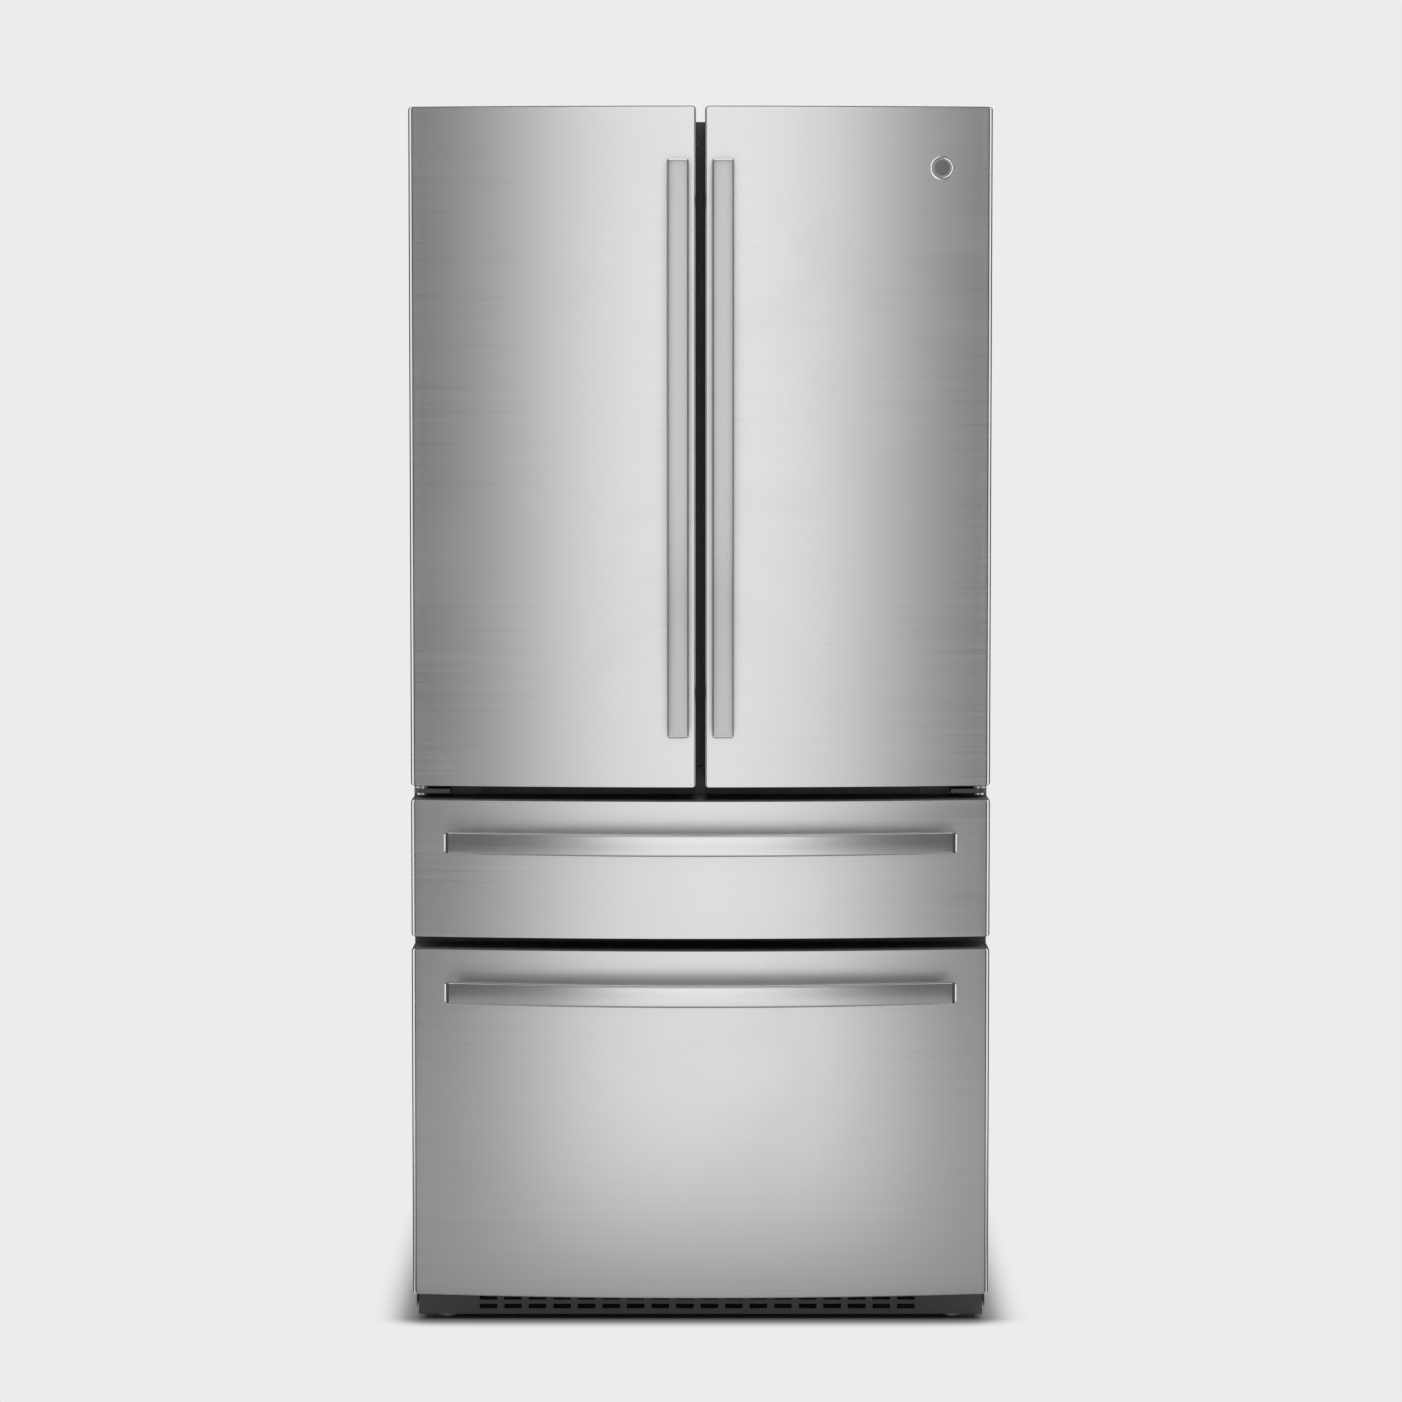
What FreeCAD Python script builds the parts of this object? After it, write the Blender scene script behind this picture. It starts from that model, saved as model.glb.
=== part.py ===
"""French door refrigerator: two bowed upper doors over a middle drawer and a freezer drawer.

Frame: +Z up, the front faces -Y, +X to the right seen from the front, origin at the middle
of the footprint on the floor.  Millimetres throughout.  Each node is one STEP file in parts/.
"""

import FreeCAD
import Part
import math
import os

from FreeCAD import Vector

# ---------------------------------------------------------------- driving dimensions
OVERALL_WIDTH = 832.0
OVERALL_DEPTH = 920.0  # back of the cabinet to the front of the handles
HANDLE_STANDOFF = 66.0  # middle of the bowed fronts to the front of the handles
CASE_TOP_DROP = 17.5  # top of the doors to the top of the case
CASE_BOTTOM = 60.0
SKIRT_BOTTOM = 22.0  # lower edge of the side sheets

# fronts, bottom to top
FREEZER_BOTTOM = 58.0
FREEZER_HEIGHT = 504.0
DRAWER_GAP = 16.5
MIDDLE_HEIGHT = 199.0
DOOR_LOWER_GAP = 19.0
DOOR_HEIGHT = 970.0
DOOR_GAP = 13.0  # between the two doors

# fronts, in section
FRONT_BOW = 29.0  # how far the middle stands proud of the sides
FRONT_EDGE_THICKNESS = 65.0
GASKET_GAP = 14.0  # case to the back of a closed front
SKIN = 1.0
CORNER_RADIUS = 5.0
CAP_HEIGHT = 18.0
PANEL = 3.0  # plastic sheet of the inner panels and liners
PANEL_INSET = 1.5
TOUCH_GAP = 0.3
RUNNING_CLEARANCE = 0.06

# cabinet walls
SHEET = 1.0
SIDE_WALL = 51.0
TOP_WALL = 30.0
BACK_WALL = 65.0
RAIL_MARGIN = 20.0  # front's edge to the opening behind it
FREEZER_FLOOR = 110.0

# seals and raised ridge of the door panels
GASKET_WIDTH = 16.0
GASKET_WIDTH_LOW = 12.0
GASKET_INSET = 16.0
GASKET_INSET_MIDDLE = 6.5
GASKET_INSET_LOW = 5.0
GASKET_BELOW_CASE_TOP = 10.0
DIKE_DEPTH = 50.0
DIKE_WIDTH = 16.0
DIKE_CLEARANCE = 8.0
DIKE_INSET_MIDDLE = 47.5  # leaves room for the folded mullion
DRAWER_PLUG_DEPTH = 20.0

# hinges
PIN_INSET = 15.0
PIN_FROM_BACK = 32.0
PIN_RADIUS = 5.0
PIN_ENGAGEMENT = 12.0
HINGE_PLATE = 3.0
ARM_END_RADIUS = 12.0
ARM_INNER = 24.0
ARM_OUTER = 6.0
POCKET_FLOOR_BELOW_CASE_TOP = 2.0
POCKET_AHEAD_OF_PIN = 24.0
HINGE_COVER_HEIGHT = 22.0
HINGE_COVER_LENGTH = 100.0
HINGE_COVER_WIDTH = 68.0
HINGE_COVER_WALL = 2.5
CENTRE_ARM_LENGTH = 40.0
CENTRE_COLLAR_RADIUS = 9.0
CENTRE_ARM_THICKNESS = 6.0
CENTRE_ARM_ABOVE_DRAWER = 6.5
CENTRE_BASE_WIDTH = 92.0
CENTRE_BASE_HEIGHT = 24.0

# handles
HANDLE_WIDTH = 31.0
HANDLE_THICKNESS = 16.0
HANDLE_EDGE_RADIUS = 3.5
DRAWER_HANDLE_LENGTH = 736.0
DRAWER_HANDLE_BOW = 42.0
DOOR_HANDLE_LENGTH = 822.0
DOOR_HANDLE_BOW = 22.0
HANDLE_FROM_FREE_EDGE = 25.5
HANDLE_FROM_DRAWER_TOP = 57.0
POST_INSET = 57.0  # handle's end to the middle of its post
POST_RADIUS = 8.0

# folding mullion
MULLION_TIP_CLEARANCE = 5.0  # to the edge of the right door, which it passes as it swings
MULLION_THICKNESS = 16.0
MULLION_AXIS_INSET = 27.5  # from the left door's free edge
MULLION_CHAMFER = 7.0
MULLION_END_GAP = 5.0
MULLION_PIN_RADIUS = 3.0
MULLION_PIN_LENGTH = 52.0
KNUCKLE_HEIGHT = 28.0
KNUCKLE_NOTCH = 10.0
KNUCKLE_FROM_END = 120.0

# machine compartment and base
MACHINE_DEPTH = 250.0
MACHINE_TOP = 330.0
STEP_FOAM = 45.0
DECK_TOP = 46.0
STEEL = 1.5
LEG_X = 370.0
LEG_SETBACK = 42.0
LEG_RADIUS = 6.0
FOOT_RADIUS = 16.0
FOOT_HEIGHT = 10.0
LEG_BLOCK = 36.0
LEG_BLOCK_BOTTOM = 30.0
ROLLER_RADIUS = 20.0
ROLLER_WIDTH = 18.0
ROLLER_X = 370.0
ROLLER_FROM_BACK = 60.0
GRILLE_SETBACK = 4.0
GRILLE_THICKNESS = 4.0
BASE_RAIL = 14.0
AXLE_RADIUS = 4.0
CHEEK = 3.0

# drawer slides
SLIDE_HEIGHT = 45.0
SLIDE_WIDTH = 13.5
SLIDE_CLEARANCE = 0.5
SLIDE_LENGTH = 440.0
SLIDE_SETBACK = 6.0

# bins, crispers and shelves
BIN_WALL = 3.0
BIN_DEPTH = 112.0
BIN_FIT = 1.0
BIN_HOOK_DROP = 20.0  # rim of a bin to the top of its hooks
BIN_HOOK_HEIGHT = 20.0
BIN_SIZES = ((32.0, 150.0), (330.0, 130.0), (610.0, 120.0))  # above the opening's floor, height
DAIRY_LID_THICKNESS = 3.0
DAIRY_PIN_RADIUS = 3.0
DAIRY_BARREL_RADIUS = 6.0
DAIRY_LID_INSET = 8.0
MIDDLE_BIN_HEIGHT = 122.0
MIDDLE_BIN_FROM_BACK = 155.0
FREEZER_BIN_TOP = 440.0
BASKET_HEIGHT = 80.0
BASKET_TRAVEL = 190.0
BASKET_FROM_COVER = 15.0
CRISPER_SETBACK = 172.0
CRISPER_HEIGHT = 165.0
CRISPER_FROM_BACK = 149.0
SHELF_SETBACK = 130.0
SHELF_FROM_BACK = 71.0
SHELF_GLASS = 4.0
SHELF_FRAME = 14.0
SHELF_RISES = (190.0, 425.0, 655.0)  # above the opening's floor
LEDGE = 10.0

# evaporator and its fan
EVAPORATOR_COVER_FROM_BACK = 62.0
EVAPORATOR_WIDTH = 420.0
EVAPORATOR_DEPTH = 46.0
EVAPORATOR_HEIGHT = 62.0
EVAPORATOR_TUBE_RISES = (14.0, 31.0, 48.0)
EVAPORATOR_TUBE_RADIUS = 4.0
FAN_RADIUS = 38.0
FAN_BLADES = 5
FAN_BLADE_PITCH = 35.0
FAN_HUB_RADIUS = 10.0
FAN_GRILLE_SLOTS = 6
FAN_GRILLE_PITCH = 12.0
FAN_GRILLE_SLOT = 5.0
AIR_DUCT_HALF = 60.0
AIR_DUCT_DEPTH = 30.0
AIR_SLOT_HALF = 40.0
AIR_SLOT_HEIGHT = 8.0
AIR_SLOT_RISES = (300.0, 560.0, 800.0)  # above the opening's floor

# condenser side
COMPRESSOR_RADIUS = 78.0
COMPRESSOR_HEIGHT = 165.0
COMPRESSOR_X = -230.0
COMPRESSOR_TOP_RADIUS = 28.0
COMPRESSOR_PLATE = (190.0, 140.0, 3.0)
GROMMET_RADIUS = 11.0
GROMMET_HEIGHT = 10.0
GROMMET_X = 82.0
GROMMET_Y = 57.0
CONDENSER_X0 = 40.0
CONDENSER_X1 = 330.0
CONDENSER_MARGIN = 40.0
CONDENSER_TOP = 190.0  # above the deck
CONDENSER_END_PLATE = 2.0
CONDENSER_FAN_RADIUS = 68.0
SHAFT_RADIUS = 3.0
PAN_HEIGHT = 28.0

# slots of the toe grille and of the rear cover: length, height, spacing, count
TOE_SLOT = (26.0, 7.0)
TOE_SLOT_SPACING = 36.0
TOE_SLOT_COUNT = 18
TOE_SLOT_ROWS = (18.0, 31.0, 44.0)
TOE_GRILLE_BOTTOM = 10.0
REAR_SLOT = (44.0, 6.0)
REAR_SLOT_SPACING = 60.0
REAR_SLOT_COUNT = 11
REAR_SLOT_ROWS = (120.0, 138.0, 156.0, 174.0, 192.0, 210.0)

# small parts
BADGE_RADIUS = 17.0
BADGE_THICKNESS = 2.5
BADGE_FROM_SIDE = 73.0
BADGE_FROM_TOP = 87.0
GLAND_BORE_RADIUS = 4.5
GLAND_RADIUS = 9.0
GLAND_LENGTH = 14.0
GLAND_X = 370.0
GLAND_Z = 90.0
LIGHT_LENGTH = 260.0
LIGHT_WIDTH = 90.0
LIGHT_HEIGHT = 12.0
LIGHT_SETBACK = 136.0
GUIDE_CLEARANCE = 8.0
GUIDE_X0 = -30.0
GUIDE_X1 = 14.0
GUIDE_DEPTH = 26.0
GUIDE_HEIGHT = 20.0

# ---------------------------------------------------------------- worked out from them
HALF = OVERALL_WIDTH / 2
BACK_Y = OVERALL_DEPTH / 2
HANDLE_Y = -OVERALL_DEPTH / 2
CENTRE_Y = HANDLE_Y + HANDLE_STANDOFF
EDGE_Y = CENTRE_Y + FRONT_BOW
FRONT_Y = EDGE_Y + FRONT_EDGE_THICKNESS  # back plane of the closed fronts
CASE_Y = FRONT_Y + GASKET_GAP  # front plane of the case
BOW_RADIUS = (HALF**2 + FRONT_BOW**2) / (2 * FRONT_BOW)
BOW_CENTRE_Y = CENTRE_Y + BOW_RADIUS

FREEZER_TOP = FREEZER_BOTTOM + FREEZER_HEIGHT
MIDDLE_BOTTOM = FREEZER_TOP + DRAWER_GAP
MIDDLE_TOP = MIDDLE_BOTTOM + MIDDLE_HEIGHT
DOOR_BOTTOM = MIDDLE_TOP + DOOR_LOWER_GAP
DOOR_TOP = DOOR_BOTTOM + DOOR_HEIGHT
CASE_TOP = DOOR_TOP - CASE_TOP_DROP

INNER = HALF - SIDE_WALL
BACK_INNER = BACK_Y - BACK_WALL
FRESH_FLOOR = DOOR_BOTTOM + RAIL_MARGIN - 2.0
FRESH_CEILING = CASE_TOP - TOP_WALL
MIDDLE_FLOOR = MIDDLE_BOTTOM + RAIL_MARGIN
MIDDLE_CEILING = MIDDLE_TOP - RAIL_MARGIN
FREEZER_CEILING = FREEZER_TOP - RAIL_MARGIN
MACHINE_Y = BACK_Y - MACHINE_DEPTH
STEP_Y = MACHINE_Y - STEP_FOAM
STEP_Z = MACHINE_TOP + STEP_FOAM
PIN_X = HALF - PIN_INSET
PIN_Y = FRONT_Y - PIN_FROM_BACK
CENTRE_ARM_Z = MIDDLE_TOP + CENTRE_ARM_ABOVE_DRAWER
MULLION_AXIS_X = -DOOR_GAP / 2 - MULLION_AXIS_INSET
MULLION_TIP = DOOR_GAP / 2 - MULLION_TIP_CLEARANCE
SLIDE_INNER = INNER - SLIDE_WIDTH - 2 * SLIDE_CLEARANCE - STEEL  # side of the drawer bins
EVAPORATOR_COVER_Y = BACK_INNER - EVAPORATOR_COVER_FROM_BACK

parts = {}


# ---------------------------------------------------------------- helpers
def box(x0, x1, y0, y1, z0, z1):
    """A box between two corners, in any order."""
    x0, x1 = sorted((x0, x1))
    y0, y1 = sorted((y0, y1))
    z0, z1 = sorted((z0, z1))
    return Part.makeBox(x1 - x0, y1 - y0, z1 - z0, Vector(x0, y0, z0))


def rod(x, y, z, radius, length, axis=Vector(0, 0, 1)):
    """A cylinder that starts at a point and runs along an axis."""
    return Part.makeCylinder(radius, length, Vector(x, y, z), axis)


def fuse(shapes):
    """One shape from several that overlap or share faces."""
    whole = shapes[0]
    for shape in shapes[1:]:
        whole = whole.fuse(shape)
    return whole.removeSplitter()


def cut(shape, tools):
    """The shape with each tool taken away."""
    for tool in tools:
        shape = shape.cut(tool)
    return shape


def mirrored(shape):
    """The same shape on the other side of the middle plane."""
    return shape.mirror(Vector(0, 0, 0), Vector(1, 0, 0))


def both_sides(shapes):
    """The shapes and their mirror images."""
    return list(shapes) + [mirrored(s) for s in shapes]


def is_upright(edge):
    """Whether an edge is a straight vertical line."""
    size = edge.BoundBox
    return max(size.XLength, size.YLength) < 1e-6 and size.ZLength > 1e-3


def rounded_box(x0, x1, y0, y1, z0, z1, radius):
    """A box with its upright edges rounded."""
    block = box(x0, x1, y0, y1, z0, z1)
    return block.makeFillet(radius, [e for e in block.Edges if is_upright(e)])


def tray(x0, x1, y0, y1, z0, z1, wall, radius=10.0):
    """A rounded box that is open at the top."""
    outer = rounded_box(x0, x1, y0, y1, z0, z1, radius)
    inner = rounded_box(
        x0 + wall, x1 - wall, y0 + wall, y1 - wall, z0 + wall, z1 + wall, radius - wall
    )
    return outer.cut(inner)


def ring(x0, x1, y0, y1, z0, z1, width):
    """A rectangular frame that faces the front, of the given width."""
    outer = box(x0, x1, y0, y1, z0, z1)
    return outer.cut(box(x0 + width, x1 - width, y0 - 1, y1 + 1, z0 + width, z1 - width))


def bow_y(x, inset=0.0):
    """Where the bowed front surface is at x, a distance inside it."""
    return BOW_CENTRE_Y - math.sqrt((BOW_RADIUS - inset) ** 2 - x**2)


def bowed_block(x0, x1, back_y, z0, z1, inset=0.0):
    """A block with a flat back and the bowed front, drawn in from front and sides by the inset."""
    left = x0 + inset
    right = x1 - inset
    middle = (left + right) / 2
    front = [Vector(x, bow_y(x, inset), z0) for x in (left, middle, right)]
    corners = [front[2], Vector(right, back_y, z0), Vector(left, back_y, z0), front[0]]
    edges = [Part.Arc(*front).toShape()]
    edges += [Part.makeLine(a, b) for a, b in zip(corners, corners[1:])]
    block = Part.Face(Part.Wire(edges)).extrude(Vector(0, 0, z1 - z0))
    radius = max(CORNER_RADIUS - inset, 1.0)
    front_edges = [e for e in block.Edges if is_upright(e) and e.CenterOfMass.y < EDGE_Y + 5]
    return block.makeFillet(radius, front_edges)


# ---------------------------------------------------------------- fronts
def front_pieces(x0, x1, z0, z1):
    """Skin, lower and upper cap and foam block of a door or drawer front."""
    back = FRONT_Y - PANEL
    skin = bowed_block(x0, x1, back, z0, z1)
    skin = skin.cut(bowed_block(x0, x1, back + SKIN, z0 - 1, z1 + 1, inset=SKIN))
    lower = bowed_block(x0, x1, back, z0, z0 + CAP_HEIGHT, inset=SKIN)
    upper = bowed_block(x0, x1, back, z1 - CAP_HEIGHT, z1, inset=SKIN)
    foam = bowed_block(x0, x1, back, z0 + CAP_HEIGHT, z1 - CAP_HEIGHT, inset=SKIN)
    return skin, lower, upper, foam


def seal(x0, x1, z0, z1):
    """Four lengths of magnetic seal, mitred at the corners."""
    outer = [Vector(x0, FRONT_Y, z0), Vector(x1, FRONT_Y, z0),
             Vector(x1, FRONT_Y, z1), Vector(x0, FRONT_Y, z1)]
    in_x0, in_x1 = x0 + GASKET_WIDTH, x1 - GASKET_WIDTH
    in_z0, in_z1 = z0 + GASKET_WIDTH_LOW, z1 - GASKET_WIDTH_LOW
    inner = [Vector(in_x0, FRONT_Y, in_z0), Vector(in_x1, FRONT_Y, in_z0),
             Vector(in_x1, FRONT_Y, in_z1), Vector(in_x0, FRONT_Y, in_z1)]
    depth = Vector(0, GASKET_GAP - TOUCH_GAP, 0)
    lengths = []
    for i in range(4):
        j = (i + 1) % 4
        outline = Part.makePolygon([outer[i], outer[j], inner[j], inner[i], outer[i]])
        lengths.append(Part.Face(outline).extrude(depth))
    return lengths


def bowed_bar(length, bow):
    """A handle bar along X, its front at y 0 in the middle and its height centred on z 0."""
    half = length / 2
    radius = (half**2 + bow**2) / (2 * bow)
    angle = math.asin(half / radius)
    outline = []
    ends = []
    for r in (radius, radius - HANDLE_THICKNESS):
        side = [Vector(s * r * math.sin(angle), radius - r * math.cos(angle), 0) for s in (-1, 1)]
        outline.append(Part.Arc(side[0], Vector(0, radius - r, 0), side[1]).toShape())
        ends.append(side)
    closing = [Part.makeLine(ends[0][i], ends[1][i]) for i in (0, 1)]
    wire = Part.Wire(Part.__sortEdges__(outline + closing))
    bar = Part.Face(wire).extrude(Vector(0, 0, HANDLE_WIDTH))
    bar.translate(Vector(0, 0, -HANDLE_WIDTH / 2))
    long_edges = [e for e in bar.Edges if e.Length > length / 2]
    return bar.makeFillet(HANDLE_EDGE_RADIUS, long_edges)


def handle(bar, spots, front):
    """A bar and the posts that carry it on a front, each post cut to both."""
    pieces = [bar]
    for x, z in spots:
        post = rod(x, HANDLE_Y, z, POST_RADIUS, FRONT_Y - PANEL - HANDLE_Y, Vector(0, 1, 0))
        between = cut(post, [bar, front]).Solids
        pieces.append(max(between, key=lambda s: s.CenterOfMass.y))
    return pieces


def drawer_handle(top_z, front):
    """The handle across a drawer front."""
    z = top_z - HANDLE_FROM_DRAWER_TOP
    bar = bowed_bar(DRAWER_HANDLE_LENGTH, DRAWER_HANDLE_BOW)
    bar.translate(Vector(0, HANDLE_Y, z))
    reach = DRAWER_HANDLE_LENGTH / 2 - POST_INSET
    return handle(bar, [(-reach, z), (reach, z)], front)


def door_handle(front):
    """The upright handle beside the free edge of the right door."""
    x = DOOR_GAP / 2 + HANDLE_FROM_FREE_EDGE
    z = (DOOR_BOTTOM + DOOR_TOP) / 2
    bar = bowed_bar(DOOR_HANDLE_LENGTH, DOOR_HANDLE_BOW)
    bar.rotate(Vector(0, 0, 0), Vector(0, 1, 0), 90)
    bar.translate(Vector(x, HANDLE_Y, z))
    reach = DOOR_HANDLE_LENGTH / 2 - POST_INSET
    return handle(bar, [(x, z - reach), (x, z + reach)], front)


# ---------------------------------------------------------------- doors
DIKE_X0 = DOOR_GAP / 2 + DIKE_INSET_MIDDLE
DIKE_X1 = INNER - DIKE_CLEARANCE
DIKE_Z0 = FRESH_FLOOR + DIKE_CLEARANCE
DIKE_Z1 = FRESH_CEILING - DIKE_CLEARANCE
BIN_X0 = DIKE_X0 + DIKE_WIDTH + BIN_FIT
BIN_X1 = DIKE_X1 - DIKE_WIDTH - BIN_FIT
BIN_Y0 = FRONT_Y + BIN_FIT
BIN_Y1 = BIN_Y0 + BIN_DEPTH


def door_bin_span(index):
    """Bottom and top of one of the door bins."""
    rise, height = BIN_SIZES[index]
    return FRESH_FLOOR + rise, FRESH_FLOOR + rise + height


def door_bin(index):
    """A door bin, open at the top, with a pair of hooks into the ridges of the door panel."""
    z0, z1 = door_bin_span(index)
    body = tray(BIN_X0, BIN_X1, BIN_Y0, BIN_Y1, z0, z1, BIN_WALL)
    hooks = [
        box(x0, x1, FRONT_Y + DIKE_DEPTH / 2, FRONT_Y + DIKE_DEPTH,
            z1 - BIN_HOOK_DROP - BIN_HOOK_HEIGHT, z1 - BIN_HOOK_DROP)
        for x0, x1 in ((BIN_X0 - BIN_FIT, BIN_X0 + 1), (BIN_X1 - 1, BIN_X1 + BIN_FIT))
    ]
    return fuse([body] + hooks)


def right_door():
    """Every piece fixed to the right door, by name."""
    x0, x1 = DOOR_GAP / 2, HALF
    skin, lower, upper, foam = front_pieces(x0, x1, DOOR_BOTTOM, DOOR_TOP)
    front = bowed_block(x0, x1, FRONT_Y, DOOR_BOTTOM, DOOR_TOP)
    floor_z = CASE_TOP - POCKET_FLOOR_BELOW_CASE_TOP
    boss_z = floor_z - PIN_ENGAGEMENT - 3
    pocket = box(
        PIN_X - ARM_INNER - 4, x1 + 1, PIN_Y - POCKET_AHEAD_OF_PIN, FRONT_Y + 1,
        floor_z, DOOR_TOP + 1,
    )
    boss = box(
        PIN_X - ARM_INNER - 8, x1 - SKIN, PIN_Y - ARM_END_RADIUS, FRONT_Y - PANEL,
        boss_z, DOOR_TOP - CAP_HEIGHT,
    )
    bore_radius = PIN_RADIUS + RUNNING_CLEARANCE
    upper_bore = rod(PIN_X, PIN_Y, floor_z - PIN_ENGAGEMENT - 1, bore_radius, PIN_ENGAGEMENT + 2)
    lower_bore = rod(PIN_X, PIN_Y, DOOR_BOTTOM - 1, bore_radius, PIN_ENGAGEMENT + 2)
    upper = cut(fuse([upper, boss]), [pocket, upper_bore])
    lower = lower.cut(lower_bore)
    back = FRONT_Y
    plate = box(
        x0 + PANEL_INSET, x1 - PANEL_INSET, back - PANEL, back,
        DOOR_BOTTOM + PANEL_INSET, DOOR_TOP - PANEL_INSET,
    )
    ridge = ring(DIKE_X0, DIKE_X1, back, back + DIKE_DEPTH, DIKE_Z0, DIKE_Z1, DIKE_WIDTH)
    filling = ring(
        DIKE_X0 + PANEL, DIKE_X1 - PANEL, back - PANEL, back + DIKE_DEPTH - PANEL,
        DIKE_Z0 + PANEL, DIKE_Z1 - PANEL, DIKE_WIDTH - 2 * PANEL,
    )
    panel = cut(fuse([plate, ridge]), [filling, pocket])
    foam = cut(fuse([foam, filling]), [boss, pocket])
    seal_top = CASE_TOP - GASKET_BELOW_CASE_TOP
    lengths = seal(x0, x1 - GASKET_INSET, DOOR_BOTTOM + GASKET_INSET_LOW, seal_top)
    return {
        "skin": [skin.cut(pocket)],
        "caps": [lower, upper],
        "inner_panel": [panel, foam],
        "gasket": lengths,
        "handle": door_handle(front),
        "bins": [door_bin(i) for i in range(len(BIN_SIZES))],
    }


def knuckle_heights():
    """Middle height of each of the mullion's two hinge knuckles."""
    low = FRESH_FLOOR + MULLION_END_GAP + KNUCKLE_FROM_END
    high = FRESH_CEILING - MULLION_END_GAP - KNUCKLE_FROM_END
    return low, high


MULLION_AXIS_Y = CASE_Y + MULLION_THICKNESS / 2


def mullion():
    """The bar between the doors: half round at its hinge, chamfered at the tip."""
    front, rear = CASE_Y, CASE_Y + MULLION_THICKNESS
    z0, z1 = FRESH_FLOOR + MULLION_END_GAP, FRESH_CEILING - MULLION_END_GAP
    outline = [
        Vector(MULLION_AXIS_X, rear, z0),
        Vector(MULLION_AXIS_X - MULLION_THICKNESS / 2, MULLION_AXIS_Y, z0),
        Vector(MULLION_AXIS_X, front, z0),
        Vector(MULLION_TIP, front, z0),
        Vector(MULLION_TIP, rear - MULLION_CHAMFER, z0),
        Vector(MULLION_TIP - MULLION_CHAMFER, rear, z0),
    ]
    edges = [Part.Arc(*outline[:3]).toShape()]
    corners = outline[2:] + [outline[0]]
    edges += [Part.makeLine(a, b) for a, b in zip(corners, corners[1:])]
    bar = Part.Face(Part.Wire(edges)).extrude(Vector(0, 0, z1 - z0))
    for z in knuckle_heights():
        half = KNUCKLE_HEIGHT / 2 + 1
        bar = bar.cut(box(-HALF, MULLION_AXIS_X + KNUCKLE_NOTCH, front - 1, rear + 1, z - half, z + half))
        bore = MULLION_PIN_RADIUS + RUNNING_CLEARANCE
        length = MULLION_PIN_LENGTH + 2
        bar = bar.cut(rod(MULLION_AXIS_X, MULLION_AXIS_Y, z - length / 2, bore, length))
    return bar


def mullion_knuckles():
    """Brackets on the ridge of the left door, each with the pin that the mullion turns on."""
    made = []
    for z in knuckle_heights():
        arm = box(
            -DIKE_X0, MULLION_AXIS_X + 5, MULLION_AXIS_Y - 5, MULLION_AXIS_Y + 5,
            z - KNUCKLE_HEIGHT / 2, z + KNUCKLE_HEIGHT / 2,
        )
        pin = rod(
            MULLION_AXIS_X, MULLION_AXIS_Y, z - MULLION_PIN_LENGTH / 2,
            MULLION_PIN_RADIUS, MULLION_PIN_LENGTH,
        )
        made.append(fuse([arm, pin]))
    return made


def badge():
    """Blank round badge on the right door, square to the bowed surface."""
    x = HALF - BADGE_FROM_SIDE
    centre = Vector(x, bow_y(x), DOOR_TOP - BADGE_FROM_TOP)
    outward = Vector(centre.x, centre.y - BOW_CENTRE_Y, 0).normalize()
    start = centre + outward * BADGE_THICKNESS
    disc = Part.makeCylinder(BADGE_RADIUS, BADGE_THICKNESS + 4, start, outward * -1)
    return disc.cut(bowed_block(DOOR_GAP / 2, HALF, FRONT_Y, DOOR_BOTTOM, DOOR_TOP))


DAIRY_AXIS_Y = BIN_Y0 + 14.0
DAIRY_LOW = door_bin_span(2)[1] + 1.0  # underside of the lid
DAIRY_AXIS_Z = DAIRY_LOW + 4.5


def dairy_lid():
    """Lid over the right door's top bin, hinged along its rear edge on two pins."""
    x0, x1 = BIN_X0 + DAIRY_LID_INSET, BIN_X1 - DAIRY_LID_INSET
    high = DAIRY_LOW + DAIRY_LID_THICKNESS
    lip_y = BIN_Y1 + 0.5
    plate = box(x0, x1, DAIRY_AXIS_Y, BIN_Y1, DAIRY_LOW, high)
    lip = box(x0, x1, lip_y, lip_y + DAIRY_LID_THICKNESS, DAIRY_LOW - 22, high)
    bridge = box(x0, x1, BIN_Y1 - 1, BIN_Y1 + 1, DAIRY_LOW, high)
    along = Vector(1, 0, 0)
    barrel = rod(x0, DAIRY_AXIS_Y, DAIRY_AXIS_Z, DAIRY_BARREL_RADIUS, x1 - x0, along)
    bore_radius = DAIRY_PIN_RADIUS + RUNNING_CLEARANCE
    bore = rod(BIN_X0, DAIRY_AXIS_Y, DAIRY_AXIS_Z, bore_radius, BIN_X1 - BIN_X0, along)
    return fuse([plate, lip, bridge, barrel]).cut(bore)


def dairy_pins():
    """Pins that reach from the ridges of the right door into the ends of the lid."""
    length = BIN_FIT + 28
    return [
        rod(x, DAIRY_AXIS_Y, DAIRY_AXIS_Z, DAIRY_PIN_RADIUS, length, Vector(1, 0, 0))
        for x in (DIKE_X0 + DIKE_WIDTH, DIKE_X1 - DIKE_WIDTH - length)
    ]


def build_doors():
    """Both doors, the mullion, the badge and the dairy lid."""
    for name, shapes in right_door().items():
        parts["right_door_" + name] = shapes
        parts["left_door_" + name] = [mirrored(s) for s in shapes]
    left_seal = seal(
        -HALF + GASKET_INSET, -DOOR_GAP / 2 - GASKET_INSET_MIDDLE,
        DOOR_BOTTOM + GASKET_INSET_LOW, CASE_TOP - GASKET_BELOW_CASE_TOP,
    )
    parts["left_door_gasket"] = left_seal
    parts["left_door_inner_panel"] += mullion_knuckles()
    parts["right_door_inner_panel"] += dairy_pins()
    parts["mullion"] = [mullion()]
    parts["badge"] = [badge()]
    parts["dairy_lid"] = [dairy_lid()]


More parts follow.
